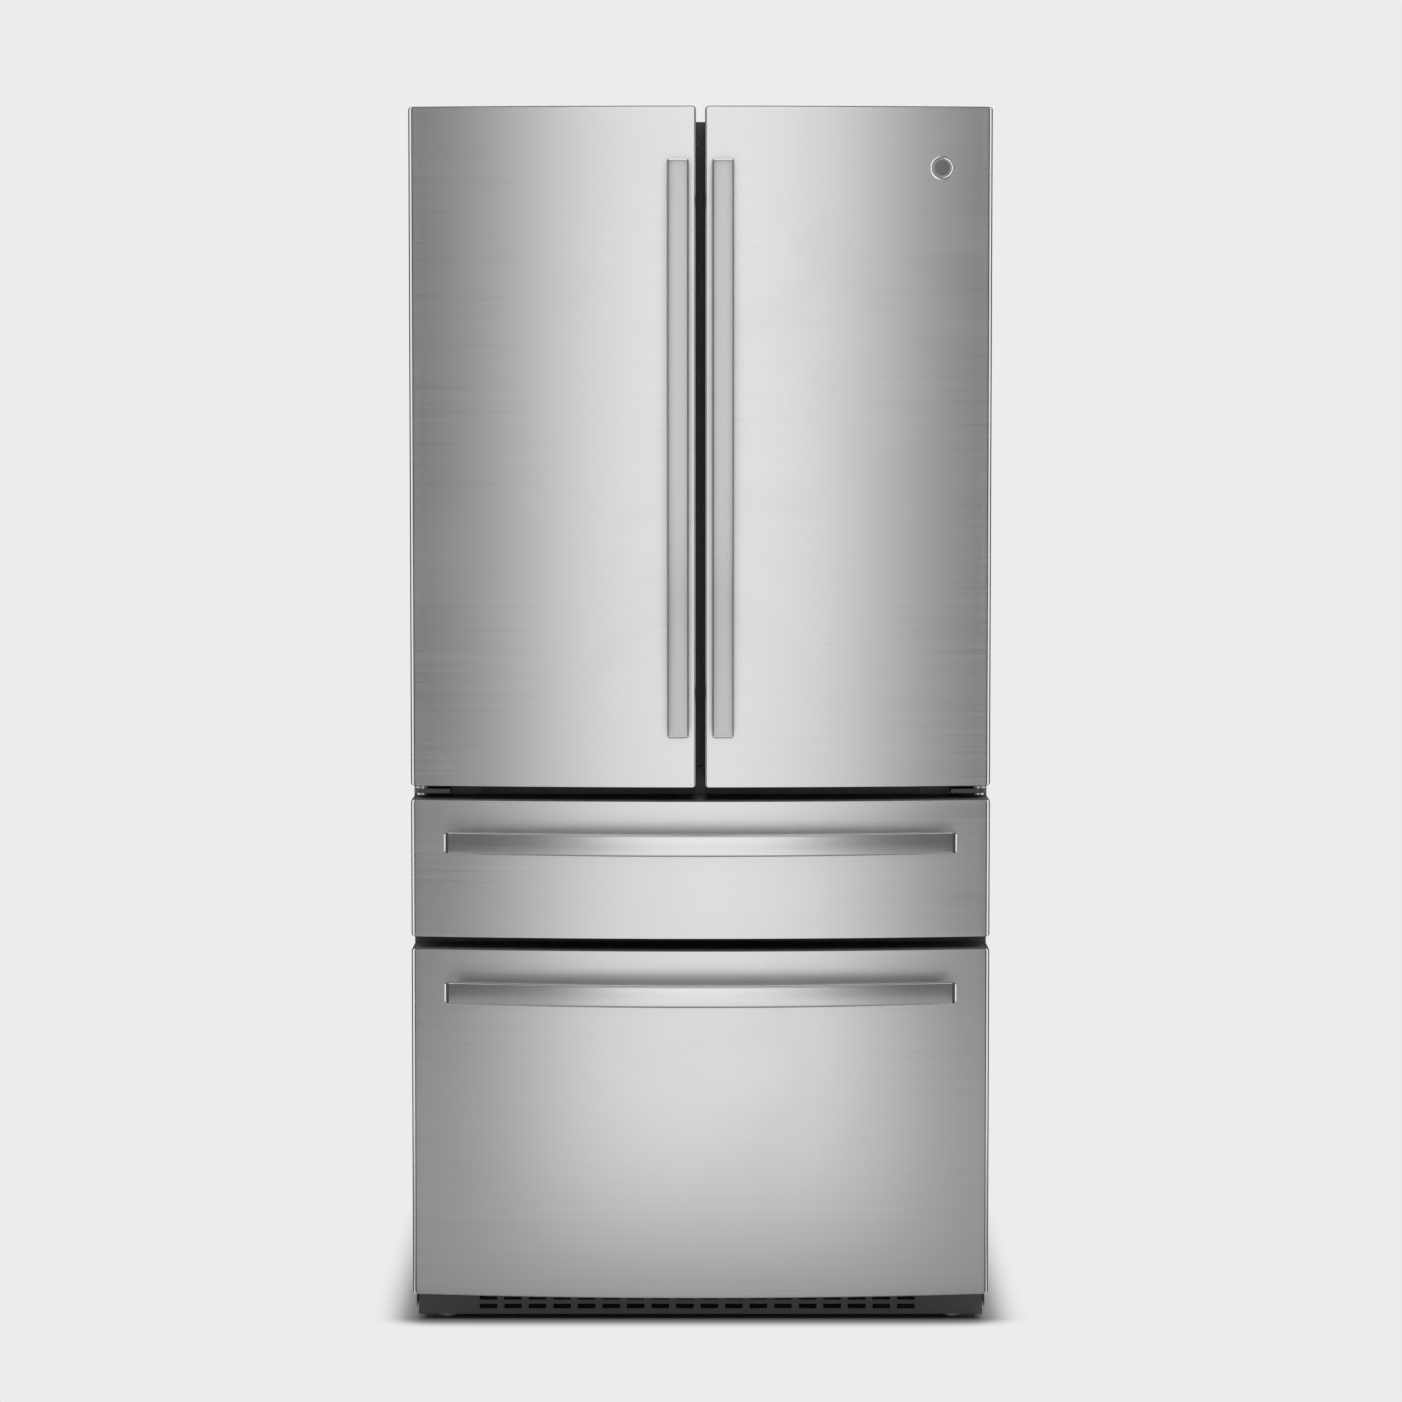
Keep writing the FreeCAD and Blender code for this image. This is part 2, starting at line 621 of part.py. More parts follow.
# ---------------------------------------------------------------- drawers
def slide_channel(web_x, lip_x, low, high, y0, length):
    """A channel of bent sheet that runs along Y, its web at one x and its lips out to another."""
    turn = 1.0 if lip_x > web_x else -1.0
    web = box(web_x, web_x + turn * STEEL, y0, y0 + length, low, high)
    lips = [box(web_x, lip_x, y0, y0 + length, z, z + STEEL) for z in (low, high - STEEL)]
    return fuse([web] + lips)


def slide_set(z):
    """Cabinet, middle and drawer member of the right-hand slide whose lower edge is at z."""
    start = CASE_Y + SLIDE_SETBACK
    step = STEEL + SLIDE_CLEARANCE
    lip = INNER - SLIDE_WIDTH
    top = z + SLIDE_HEIGHT
    cabinet = slide_channel(INNER, lip, z, top, start, SLIDE_LENGTH)
    middle = slide_channel(
        INNER - step, lip + SLIDE_CLEARANCE, z + step, top - step, start, SLIDE_LENGTH
    )
    drawer = slide_channel(
        SLIDE_INNER, INNER - 2 * step, z + 2 * step, top - 2 * step,
        FRONT_Y, start - FRONT_Y + SLIDE_LENGTH,
    )
    return cabinet, middle, drawer


def drawer_front(name, z0, z1, floor_z, ceiling_z):
    """Front, inner panel with its plug, seal and handle of one drawer."""
    skin, lower, upper, foam = front_pieces(-HALF, HALF, z0, z1)
    plug = box(
        -SLIDE_INNER, SLIDE_INNER, FRONT_Y, FRONT_Y + DRAWER_PLUG_DEPTH,
        floor_z + DIKE_CLEARANCE, ceiling_z - DIKE_CLEARANCE,
    )
    plate = box(
        -HALF + PANEL_INSET, HALF - PANEL_INSET, FRONT_Y - PANEL, FRONT_Y,
        z0 + PANEL_INSET, z1 - PANEL_INSET,
    )
    filling = box(
        -SLIDE_INNER + PANEL, SLIDE_INNER - PANEL, FRONT_Y - PANEL,
        FRONT_Y + DRAWER_PLUG_DEPTH - PANEL, floor_z + DIKE_CLEARANCE + PANEL,
        ceiling_z - DIKE_CLEARANCE - PANEL,
    )
    panel = fuse([plate, plug]).cut(filling)
    foam = fuse([foam, filling])
    lengths = seal(
        -HALF + GASKET_INSET, HALF - GASKET_INSET, z0 + GASKET_INSET_LOW, z1 - GASKET_INSET_LOW
    )
    parts[name + "_front"] = [skin, lower, upper]
    parts[name + "_inner_panel"] = [panel, foam] + lengths
    front = bowed_block(-HALF, HALF, FRONT_Y, z0, z1)
    parts[name + "_handle"] = drawer_handle(z1, front)


def build_drawers():
    """Both drawers, their bins and slides, and the basket in the freezer drawer."""
    drawer_front("middle_drawer", MIDDLE_BOTTOM, MIDDLE_TOP, MIDDLE_FLOOR, MIDDLE_CEILING)
    drawer_front("freezer_drawer", FREEZER_BOTTOM, FREEZER_TOP, FREEZER_FLOOR, FREEZER_CEILING)
    bin_y = FRONT_Y + DRAWER_PLUG_DEPTH
    middle_z = MIDDLE_FLOOR + DIKE_CLEARANCE
    parts["middle_drawer_bin"] = [tray(
        -SLIDE_INNER, SLIDE_INNER, bin_y, BACK_INNER - MIDDLE_BIN_FROM_BACK,
        middle_z, middle_z + MIDDLE_BIN_HEIGHT, BIN_WALL,
    )]
    freezer_z = FREEZER_FLOOR + DIKE_CLEARANCE
    parts["freezer_drawer_bin"] = [tray(
        -SLIDE_INNER, SLIDE_INNER, bin_y, STEP_Y - DIKE_CLEARANCE,
        freezer_z, FREEZER_BIN_TOP, BIN_WALL,
    )]
    basket_y = bin_y + DIKE_CLEARANCE
    basket_z = FREEZER_BIN_TOP + TOUCH_GAP
    parts["freezer_basket"] = [tray(
        -SLIDE_INNER + 1, SLIDE_INNER - 1, basket_y,
        EVAPORATOR_COVER_Y - BASKET_FROM_COVER - BASKET_TRAVEL,
        basket_z, basket_z + BASKET_HEIGHT, BIN_WALL,
    )]
    fixed = []
    levels = (
        ("middle_drawer", middle_z + (MIDDLE_BIN_HEIGHT - SLIDE_HEIGHT) / 2),
        ("freezer_drawer", FREEZER_BIN_TOP - SLIDE_HEIGHT),
    )
    for name, z in levels:
        cabinet, middle, drawer = slide_set(z)
        fixed += both_sides([cabinet])
        parts[name + "_rails"] = both_sides([middle])
        parts[name + "_runners"] = both_sides([drawer])
    parts["cabinet_slides"] = fixed


# ---------------------------------------------------------------- cabinet
def freezer_space(grow):
    """Inside of the freezer, with the raised floor over the machine compartment."""
    space = box(
        -INNER - grow, INNER + grow, CASE_Y + SHEET, BACK_INNER + grow,
        FREEZER_FLOOR - grow, FREEZER_CEILING + grow,
    )
    step = box(
        -HALF, HALF, STEP_Y + grow, BACK_Y, FREEZER_FLOOR - 2 * PANEL, STEP_Z - grow
    )
    return space.cut(step)


def plain_space(z0, z1, grow):
    """Inside of one of the straight compartments."""
    return box(
        -INNER - grow, INNER + grow, CASE_Y + SHEET, BACK_INNER + grow, z0 - grow, z1 + grow
    )


def shelf_heights():
    """Underside of each shelf frame."""
    return [FRESH_FLOOR + rise for rise in SHELF_RISES]


def build_shelves():
    """Glass shelves in their frames."""
    y0 = CASE_Y + SHELF_SETBACK
    y1 = BACK_INNER - SHELF_FROM_BACK
    frames = []
    glasses = []
    for z in shelf_heights():
        pane = box(
            -INNER + SHELF_FRAME / 2, INNER - SHELF_FRAME / 2,
            y0 + SHELF_FRAME / 2, y1 - SHELF_FRAME / 2,
            z + SHELF_FRAME - SHELF_GLASS - 1, z + SHELF_FRAME - 1,
        )
        frame = box(-INNER, INNER, y0, y1, z, z + SHELF_FRAME)
        middle = box(
            -INNER + SHELF_FRAME, INNER - SHELF_FRAME, y0 + SHELF_FRAME, y1 - SHELF_FRAME,
            z - 1, z + SHELF_FRAME + 1,
        )
        frames.append(cut(frame, [middle, pane]))
        glasses.append(pane)
    parts["shelf_frames"] = frames
    parts["glass_shelves"] = glasses


def build_crispers():
    """The two vegetable drawers under the lowest shelf."""
    y0 = CASE_Y + CRISPER_SETBACK
    z0 = FRESH_FLOOR + TOUCH_GAP
    y1 = BACK_INNER - CRISPER_FROM_BACK
    body = tray(3.0, INNER - 4.0, y0, y1, z0, z0 + CRISPER_HEIGHT, BIN_WALL)
    grip = box(60.0, INNER - 60.0, y0 - 14, y0 + 1, z0 + CRISPER_HEIGHT - 30,
               z0 + CRISPER_HEIGHT - 24)
    crisper = fuse([body, grip])
    parts["crisper_right"] = [crisper]
    parts["crisper_left"] = [mirrored(crisper)]


def build_cabinet():
    """Case sheets, liners, foam and the fixed pieces of the food compartments."""
    side = box(HALF - SHEET, HALF, CASE_Y, BACK_Y - SHEET, SKIRT_BOTTOM, CASE_TOP)
    top = box(-HALF, HALF, CASE_Y, BACK_Y - SHEET, CASE_TOP - SHEET, CASE_TOP)
    parts["cabinet_wrapper"] = [fuse(both_sides([side]) + [top])]
    parts["back_panel"] = [box(-HALF, HALF, BACK_Y - SHEET, BACK_Y, MACHINE_TOP, CASE_TOP)]

    inside = HALF - SHEET
    face = box(-inside, inside, CASE_Y, CASE_Y + SHEET, CASE_BOTTOM, CASE_TOP - SHEET)
    holes = [
        box(-INNER, INNER, CASE_Y - 1, CASE_Y + 9, z0, z1)
        for z0, z1 in (
            (FREEZER_FLOOR, FREEZER_CEILING),
            (MIDDLE_FLOOR, MIDDLE_CEILING),
            (FRESH_FLOOR, FRESH_CEILING),
        )
    ]
    parts["front_frame"] = [cut(face, holes)]

    fresh_outer = plain_space(FRESH_FLOOR, FRESH_CEILING, PANEL)
    middle_outer = plain_space(MIDDLE_FLOOR, MIDDLE_CEILING, PANEL)
    freezer_outer = freezer_space(PANEL)
    fresh = fresh_outer.cut(plain_space(FRESH_FLOOR, FRESH_CEILING, 0))
    y0 = CASE_Y + SHELF_SETBACK
    ledges = both_sides([
        box(INNER - LEDGE, INNER + 1, y0, BACK_INNER - SHELF_FROM_BACK, z - 6, z)
        for z in shelf_heights()
    ])
    parts["fresh_food_liner"] = [fuse([fresh] + ledges)]
    parts["middle_liner"] = [middle_outer.cut(plain_space(MIDDLE_FLOOR, MIDDLE_CEILING, 0))]
    parts["freezer_liner"] = [freezer_outer.cut(freezer_space(0))]

    machine = box(-HALF, HALF, MACHINE_Y, BACK_Y, SKIRT_BOTTOM, MACHINE_TOP + STEEL)
    foam = box(
        -inside, inside, CASE_Y + SHEET, BACK_Y - SHEET, CASE_BOTTOM, CASE_TOP - SHEET
    )
    parts["cabinet_foam"] = [cut(foam, [machine, fresh_outer, middle_outer, freezer_outer])]

    duct_y = BACK_INNER - AIR_DUCT_DEPTH
    duct = box(
        -AIR_DUCT_HALF, AIR_DUCT_HALF, duct_y, BACK_INNER,
        shelf_heights()[0] + 20, FRESH_CEILING - 20,
    )
    slots = [
        box(
            -AIR_SLOT_HALF, AIR_SLOT_HALF, duct_y - 1, BACK_INNER - 4,
            FRESH_FLOOR + rise, FRESH_FLOOR + rise + AIR_SLOT_HEIGHT,
        )
        for rise in AIR_SLOT_RISES
    ]
    fan_z = (STEP_Z + FREEZER_CEILING) / 2 + 30
    cover = box(
        -INNER, INNER, EVAPORATOR_COVER_Y, EVAPORATOR_COVER_Y + PANEL, STEP_Z, FREEZER_CEILING
    )
    grille = [
        box(
            -FAN_RADIUS, FAN_RADIUS, EVAPORATOR_COVER_Y - 1, EVAPORATOR_COVER_Y + PANEL + 1,
            z, z + FAN_GRILLE_SLOT,
        )
        for z in [fan_z - FAN_RADIUS + FAN_GRILLE_PITCH * i for i in range(FAN_GRILLE_SLOTS)]
    ]
    parts["air_covers"] = [cut(duct, slots), cut(cover, grille)]
    light_y = CASE_Y + LIGHT_SETBACK
    parts["ceiling_light"] = [rounded_box(
        -LIGHT_LENGTH / 2, LIGHT_LENGTH / 2, light_y, light_y + LIGHT_WIDTH,
        FRESH_CEILING - LIGHT_HEIGHT, FRESH_CEILING, 12.0,
    )]
    guide_y = CASE_Y + MULLION_THICKNESS + GUIDE_CLEARANCE
    guide_z = FRESH_CEILING - GUIDE_HEIGHT
    guide = box(GUIDE_X0, GUIDE_X1, guide_y, guide_y + GUIDE_DEPTH, guide_z, FRESH_CEILING)
    groove = box(
        GUIDE_X0 + 8, GUIDE_X1 + 1, guide_y + 8, guide_y + 18, guide_z - 1, FRESH_CEILING - 8
    )
    parts["mullion_guide"] = [guide.cut(groove)]

    fins = box(
        -EVAPORATOR_WIDTH / 2, EVAPORATOR_WIDTH / 2, BACK_INNER - EVAPORATOR_DEPTH, BACK_INNER,
        STEP_Z, STEP_Z + EVAPORATOR_HEIGHT,
    )
    tubes = [
        rod(-EVAPORATOR_WIDTH / 2 - 12, BACK_INNER - EVAPORATOR_DEPTH / 2, STEP_Z + rise,
            EVAPORATOR_TUBE_RADIUS, EVAPORATOR_WIDTH + 24, Vector(1, 0, 0))
        for rise in EVAPORATOR_TUBE_RISES
    ]
    motor = rod(0, EVAPORATOR_COVER_Y + 26, fan_z, 14.0, BACK_INNER - EVAPORATOR_COVER_Y - 26,
                Vector(0, 1, 0))
    shaft = rod(0, EVAPORATOR_COVER_Y + 8.5, fan_z, SHAFT_RADIUS, 20, Vector(0, 1, 0))
    parts["evaporator"] = [fuse([fins] + tubes), fuse([motor, shaft])]
    parts["evaporator_fan"] = [fan(
        Vector(0, EVAPORATOR_COVER_Y + 6, fan_z), Vector(0, 1, 0), FAN_RADIUS - 4, 16.0
    )]


def fan(start, axis, radius, length):
    """A hub on a shaft bore with flat blades turned across the air stream, about an axis."""
    hub = Part.makeCylinder(FAN_HUB_RADIUS, length, start, axis)
    blades = []
    root = FAN_HUB_RADIUS - 2
    for i in range(FAN_BLADES):
        blade = Part.makeBox(length * 0.8, 2.0, radius - root, Vector(-length * 0.4, -1.0, root))
        blade.rotate(Vector(0, 0, 0), Vector(0, 0, 1), FAN_BLADE_PITCH)
        if abs(axis.y) > 0.5:
            blade.rotate(Vector(0, 0, 0), Vector(0, 0, 1), 90)
        blade.rotate(Vector(0, 0, 0), axis, i * 360 / FAN_BLADES)
        blade.translate(start + axis * (length / 2))
        blades.append(blade)
    bore = Part.makeCylinder(SHAFT_RADIUS + RUNNING_CLEARANCE, length - 2, start + axis * 2, axis)
    return fuse([hub] + blades).cut(bore)


# ---------------------------------------------------------------- hinges
def build_hinges():
    """Top hinges with their covers, and the centre hinges that carry the doors."""
    arm_x0, arm_x1 = PIN_X - ARM_INNER, PIN_X + ARM_OUTER
    top_z = CASE_TOP + HINGE_PLATE
    base_y1 = CASE_Y + HINGE_COVER_LENGTH - 10
    base = box(HALF - HINGE_COVER_WIDTH + 6, HALF - 8, CASE_Y + 6, base_y1, CASE_TOP, top_z)
    arm = box(arm_x0, arm_x1, PIN_Y, CASE_Y + 7, CASE_TOP, top_z)
    end = rod(PIN_X, PIN_Y, CASE_TOP, ARM_END_RADIUS, HINGE_PLATE)
    pin_z = CASE_TOP - POCKET_FLOOR_BELOW_CASE_TOP - PIN_ENGAGEMENT
    pin = rod(PIN_X, PIN_Y, pin_z, PIN_RADIUS, top_z - pin_z)
    parts["top_hinges"] = both_sides([fuse([base, arm, end, pin])])

    x0, x1 = HALF - HINGE_COVER_WIDTH, HALF - 2
    y0, y1 = CASE_Y + 2, CASE_Y + HINGE_COVER_LENGTH
    z1 = CASE_TOP + HINGE_COVER_HEIGHT
    shell = rounded_box(x0, x1, y0, y1, CASE_TOP, z1, 6.0)
    wall = HINGE_COVER_WALL
    cavity = box(x0 + wall, x1 - wall, y0 + wall, y1 - wall, CASE_TOP - 1, z1 - wall)
    notch = box(arm_x0 - 0.5, arm_x1 + 0.5, y0 - 1, y0 + wall + 1, CASE_TOP - 1, top_z + 0.5)
    parts["hinge_covers"] = both_sides([cut(shell, [cavity, notch])])

    plate_z = (MIDDLE_TOP + DOOR_BOTTOM) / 2
    plate = box(
        HALF - 4 - CENTRE_BASE_WIDTH, HALF - 4, CASE_Y - HINGE_PLATE, CASE_Y,
        plate_z - CENTRE_BASE_HEIGHT / 2, plate_z + CENTRE_BASE_HEIGHT / 2,
    )
    arm_top = CENTRE_ARM_Z + CENTRE_ARM_THICKNESS
    arm_x = PIN_X - CENTRE_ARM_LENGTH
    arm = box(arm_x, PIN_X, PIN_Y - ARM_END_RADIUS, CASE_Y - 1, CENTRE_ARM_Z, arm_top)
    end = rod(PIN_X, PIN_Y, CENTRE_ARM_Z, ARM_END_RADIUS, CENTRE_ARM_THICKNESS)
    web = box(arm_x, PIN_X + 8, PIN_Y, CASE_Y - 1, CENTRE_ARM_Z, arm_top)
    pin_top = DOOR_BOTTOM + PIN_ENGAGEMENT
    pin = rod(PIN_X, PIN_Y, CENTRE_ARM_Z, PIN_RADIUS, pin_top - CENTRE_ARM_Z)
    collar = rod(
        PIN_X, PIN_Y, arm_top - 1, CENTRE_COLLAR_RADIUS, DOOR_BOTTOM - TOUCH_GAP - arm_top + 1
    )
    parts["centre_hinges"] = both_sides([fuse([plate, arm, end, web, pin, collar])])


# ---------------------------------------------------------------- base and machine compartment
def build_base():
    """Base frame, levelling legs, rear rollers and toe grille."""
    inside = HALF - SHEET
    low = CASE_BOTTOM - STEEL
    pan = box(-inside, inside, CASE_Y + SHEET, MACHINE_Y + STEEL, low, CASE_BOTTOM)
    riser = box(-inside, inside, MACHINE_Y, MACHINE_Y + STEEL, low, MACHINE_TOP + STEEL)
    roof = box(-inside, inside, MACHINE_Y, BACK_Y - SHEET, MACHINE_TOP, MACHINE_TOP + STEEL)
    deck = box(-inside, inside, MACHINE_Y - 20, BACK_Y - 4, DECK_TOP - STEEL, DECK_TOP)
    grille_y = CASE_Y + GRILLE_SETBACK
    rails = both_sides([box(
        inside - BASE_RAIL, inside, grille_y + GRILLE_THICKNESS, BACK_Y - 4,
        DECK_TOP - STEEL, CASE_BOTTOM,
    )])
    leg_y = CASE_Y + LEG_SETBACK
    block = LEG_BLOCK / 2
    blocks = both_sides([
        box(LEG_X - block, LEG_X + block, leg_y - block, leg_y + block, LEG_BLOCK_BOTTOM, low + 1)
    ])
    roller_y = BACK_Y - ROLLER_FROM_BACK
    cheeks = []
    half = ROLLER_WIDTH / 2 + 1
    for x in (ROLLER_X - half - CHEEK, ROLLER_X + half):
        cheeks.append(box(x, x + CHEEK, roller_y - 14, roller_y + 14, 8, DECK_TOP - STEEL / 2))
    along = Vector(1, 0, 0)
    axle = rod(ROLLER_X - half - 1, roller_y, ROLLER_RADIUS, AXLE_RADIUS, 2 * half + 2, along)
    frame = fuse([pan, riser, roof, deck] + rails + blocks + both_sides(cheeks + [axle]))
    bores = both_sides([
        rod(LEG_X, leg_y, LEG_BLOCK_BOTTOM - 1, LEG_RADIUS + RUNNING_CLEARANCE, 28)
    ])
    parts["base_frame"] = [cut(frame, bores)]

    foot = fuse([
        rod(LEG_X, leg_y, 0, FOOT_RADIUS, FOOT_HEIGHT),
        rod(LEG_X, leg_y, 0, LEG_RADIUS, LEG_BLOCK_BOTTOM + 22),
    ])
    parts["levelling_leg_right"] = [foot]
    parts["levelling_leg_left"] = [mirrored(foot)]
    wheel_x = ROLLER_X - ROLLER_WIDTH / 2
    wheel = rod(wheel_x, roller_y, ROLLER_RADIUS, ROLLER_RADIUS, ROLLER_WIDTH, along)
    hole_radius = AXLE_RADIUS + RUNNING_CLEARANCE
    hole = rod(ROLLER_X - half, roller_y, ROLLER_RADIUS, hole_radius, 2 * half, along)
    parts["rear_roller_right"] = [wheel.cut(hole)]
    parts["rear_roller_left"] = [mirrored(wheel.cut(hole))]

    grille_y1 = grille_y + GRILLE_THICKNESS
    grille = box(-inside + 2, inside - 2, grille_y, grille_y1, TOE_GRILLE_BOTTOM, low)
    first = -TOE_SLOT_SPACING * TOE_SLOT_COUNT / 2
    slots = [
        box(x, x + TOE_SLOT[0], grille_y - 1, grille_y1 + 1, z, z + TOE_SLOT[1])
        for x in [first + TOE_SLOT_SPACING * i for i in range(TOE_SLOT_COUNT)]
        for z in TOE_SLOT_ROWS
    ]
    parts["toe_grille"] = [cut(grille, slots)]


def build_machine():
    """Compressor, condenser with its fan, drain pan, rear cover and cord gland."""
    x, y = COMPRESSOR_X, MACHINE_Y + MACHINE_DEPTH / 2
    z = DECK_TOP + GROMMET_HEIGHT
    length, width, thickness = COMPRESSOR_PLATE
    plate = box(x - length / 2, x + length / 2, y - width / 2, y + width / 2, z, z + thickness)
    shell = rod(x, y, z + thickness, COMPRESSOR_RADIUS, COMPRESSOR_HEIGHT)
    middle_z = z + COMPRESSOR_HEIGHT / 2
    top_edges = [
        e for e in shell.Edges
        if e.CenterOfMass.z > middle_z and e.Length > COMPRESSOR_RADIUS * 6
    ]
    shell = shell.makeFillet(COMPRESSOR_TOP_RADIUS, top_edges)
    grommets = [
        rod(x + i * GROMMET_X, y + j * GROMMET_Y, DECK_TOP, GROMMET_RADIUS, GROMMET_HEIGHT)
        for i in (-1, 1)
        for j in (-1, 1)
    ]
    parts["compressor"] = [fuse([plate, shell])] + grommets

    cx0, cx1 = CONDENSER_X0, CONDENSER_X1
    cy0, cy1 = MACHINE_Y + CONDENSER_MARGIN, BACK_Y - CONDENSER_MARGIN
    cz0, cz1 = DECK_TOP + PAN_HEIGHT + 12, DECK_TOP + CONDENSER_TOP
    end = CONDENSER_END_PLATE
    fins = box(cx0 + end, cx1 - end, cy0, cy1, cz0, cz1)
    ends = [box(a, a + end, cy0, cy1, DECK_TOP, cz1 + 5) for a in (cx0, cx1 - end)]
    fan_z = (cz0 + cz1) / 2
    fan_y = (cy0 + cy1) / 2
    along = Vector(1, 0, 0)
    motor = rod(cx0 - 34, fan_y, fan_z, 24.0, 34, along)
    shaft = rod(cx0 - 59.5, fan_y, fan_z, SHAFT_RADIUS, 27, along)
    parts["condenser"] = [fuse([fins] + ends + [motor, shaft])]
    hub_start = Vector(cx0 - 62, fan_y, fan_z)
    parts["condenser_fan"] = [fan(hub_start, along, CONDENSER_FAN_RADIUS, 24.0)]
    parts["drain_pan"] = [
        tray(cx0 + 6, cx1 - 6, cy0 + 2, cy1 - 2, DECK_TOP, DECK_TOP + PAN_HEIGHT, 2.0)
    ]

    inside = HALF - SHEET
    cover = box(-inside, inside, BACK_Y - 2, BACK_Y - 1, DECK_TOP, MACHINE_TOP)
    first = -REAR_SLOT_SPACING * REAR_SLOT_COUNT / 2
    slots = [
        box(a, a + REAR_SLOT[0], BACK_Y - 3, BACK_Y, b, b + REAR_SLOT[1])
        for a in [first + REAR_SLOT_SPACING * i for i in range(REAR_SLOT_COUNT)]
        for b in REAR_SLOT_ROWS
    ]
    inwards = Vector(0, 1, 0)
    slots.append(rod(GLAND_X, BACK_Y - 5, GLAND_Z, GLAND_RADIUS, 9, inwards))
    parts["rear_access_cover"] = [cut(cover, slots)]
    start = BACK_Y - GLAND_LENGTH
    flange = rod(GLAND_X, BACK_Y - 1, GLAND_Z, GLAND_RADIUS + 3, 1, inwards)
    body = rod(GLAND_X, start, GLAND_Z, GLAND_RADIUS, GLAND_LENGTH, inwards)
    bore = rod(GLAND_X, start - 1, GLAND_Z, GLAND_BORE_RADIUS, GLAND_LENGTH + 2, inwards)
    parts["cord_gland"] = [fuse([flange, body]).cut(bore)]


# ---------------------------------------------------------------- all of it
def main():
    """Build every node and write its STEP file."""
    build_cabinet()
    build_shelves()
    build_crispers()
    build_hinges()
    build_doors()
    build_drawers()
    build_base()
    build_machine()
    os.makedirs("parts", exist_ok=True)
    for name, shapes in sorted(parts.items()):
        solids = [solid for shape in shapes for solid in shape.Solids]
        whole = solids[0] if len(solids) == 1 else Part.makeCompound(solids)
        whole.exportStep("parts/" + name + ".step")
        print(f"{name}: {len(solids)} solids, {whole.Volume / 1000:.1f} cm3, valid {whole.isValid()}")
    print(len(parts), "nodes")


main()
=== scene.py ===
"""Looks of a french door refrigerator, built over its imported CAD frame.

Sizes are metres in the frame of the CAD: +Z up, the fronts face -Y, the origin is the middle of
the footprint.  Each sub-assembly is a class that builds its own surfaces and dresses them; each
finish is a small frozen class that builds one procedural material.
"""

import logging
import math
from dataclasses import dataclass, field
from enum import Enum

import bpy
import numpy as np
from mathutils import Euler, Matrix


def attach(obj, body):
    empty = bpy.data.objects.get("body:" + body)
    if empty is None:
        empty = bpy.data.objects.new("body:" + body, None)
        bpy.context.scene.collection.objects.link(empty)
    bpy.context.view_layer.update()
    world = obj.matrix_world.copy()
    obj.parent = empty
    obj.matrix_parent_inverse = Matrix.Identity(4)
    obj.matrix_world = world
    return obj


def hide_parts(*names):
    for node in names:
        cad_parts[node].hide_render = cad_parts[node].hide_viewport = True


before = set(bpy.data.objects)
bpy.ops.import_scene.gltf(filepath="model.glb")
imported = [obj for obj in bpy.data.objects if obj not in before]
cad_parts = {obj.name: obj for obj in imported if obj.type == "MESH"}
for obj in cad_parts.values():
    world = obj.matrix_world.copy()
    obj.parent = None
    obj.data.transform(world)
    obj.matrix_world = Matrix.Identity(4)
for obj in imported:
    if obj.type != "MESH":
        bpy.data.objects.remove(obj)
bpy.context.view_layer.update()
LOG = logging.getLogger("refrigerator")
MM = 0.001

Array = np.ndarray
Triple = tuple[float, float, float]

UP = np.array([0.0, 0.0, 1.0])


# ------------------------------------------------------------------ surfaces
def make_mesh(name: str, points: Array, faces: list, crease: float = 32.0) -> bpy.types.Object:
    """Makes an object at the origin from points in millimetres.

    Args:
        name: name of the new object.
        points: (n, 3) array of places in millimetres.
        faces: corner indices of each face, turning outwards.
        crease: edges sharper than this many degrees stay hard.

    Returns:
        The object, linked to the scene and smooth shaded.
    """
    mesh = bpy.data.meshes.new(name)
    mesh.from_pydata((np.asarray(points, float) * MM).tolist(), [], faces)
    mesh.validate()
    mesh.polygons.foreach_set("use_smooth", np.ones(len(mesh.polygons), bool))
    mesh.set_sharp_from_angle(angle=math.radians(crease))
    mesh.update()
    made = bpy.data.objects.new(name, mesh)
    bpy.context.scene.collection.objects.link(made)
    return made


def grid_faces(rows: int, columns: int, wrap_rows: bool = False, wrap_columns: bool = False) -> list:
    """Quads of a grid whose point (row, column) has the index row * columns + column.

    Args:
        rows: number of rows.
        columns: number of columns.
        wrap_rows: the last row joins the first.
        wrap_columns: the last column joins the first.

    Returns:
        Index lists, four to a face.
    """
    r = np.arange(rows if wrap_rows else rows - 1)
    c = np.arange(columns if wrap_columns else columns - 1)
    r, c = (a.ravel() for a in np.meshgrid(r, c, indexing="ij"))
    r_next, c_next = (r + 1) % rows, (c + 1) % columns
    quads = (r * columns + c, r * columns + c_next, r_next * columns + c_next, r_next * columns + c)
    return np.stack(quads, 1).tolist()


def turned_outwards(points: Array, faces: list) -> list:
    """The faces of one closed surface, all reversed when its signed volume is negative."""
    corners = points[np.array([f[:3] for f in faces if len(f) == 4])]
    far = points[np.array([f[3] for f in faces if len(f) == 4])]
    middle = points.mean(0)
    a, b, c, d = (corners[:, 0] - middle, corners[:, 1] - middle, corners[:, 2] - middle, far - middle)
    volume = np.einsum("ij,ij->i", a, np.cross(b, c)).sum() + np.einsum("ij,ij->i", a, np.cross(c, d)).sum()
    return faces if volume > 0 else [f[::-1] for f in faces]


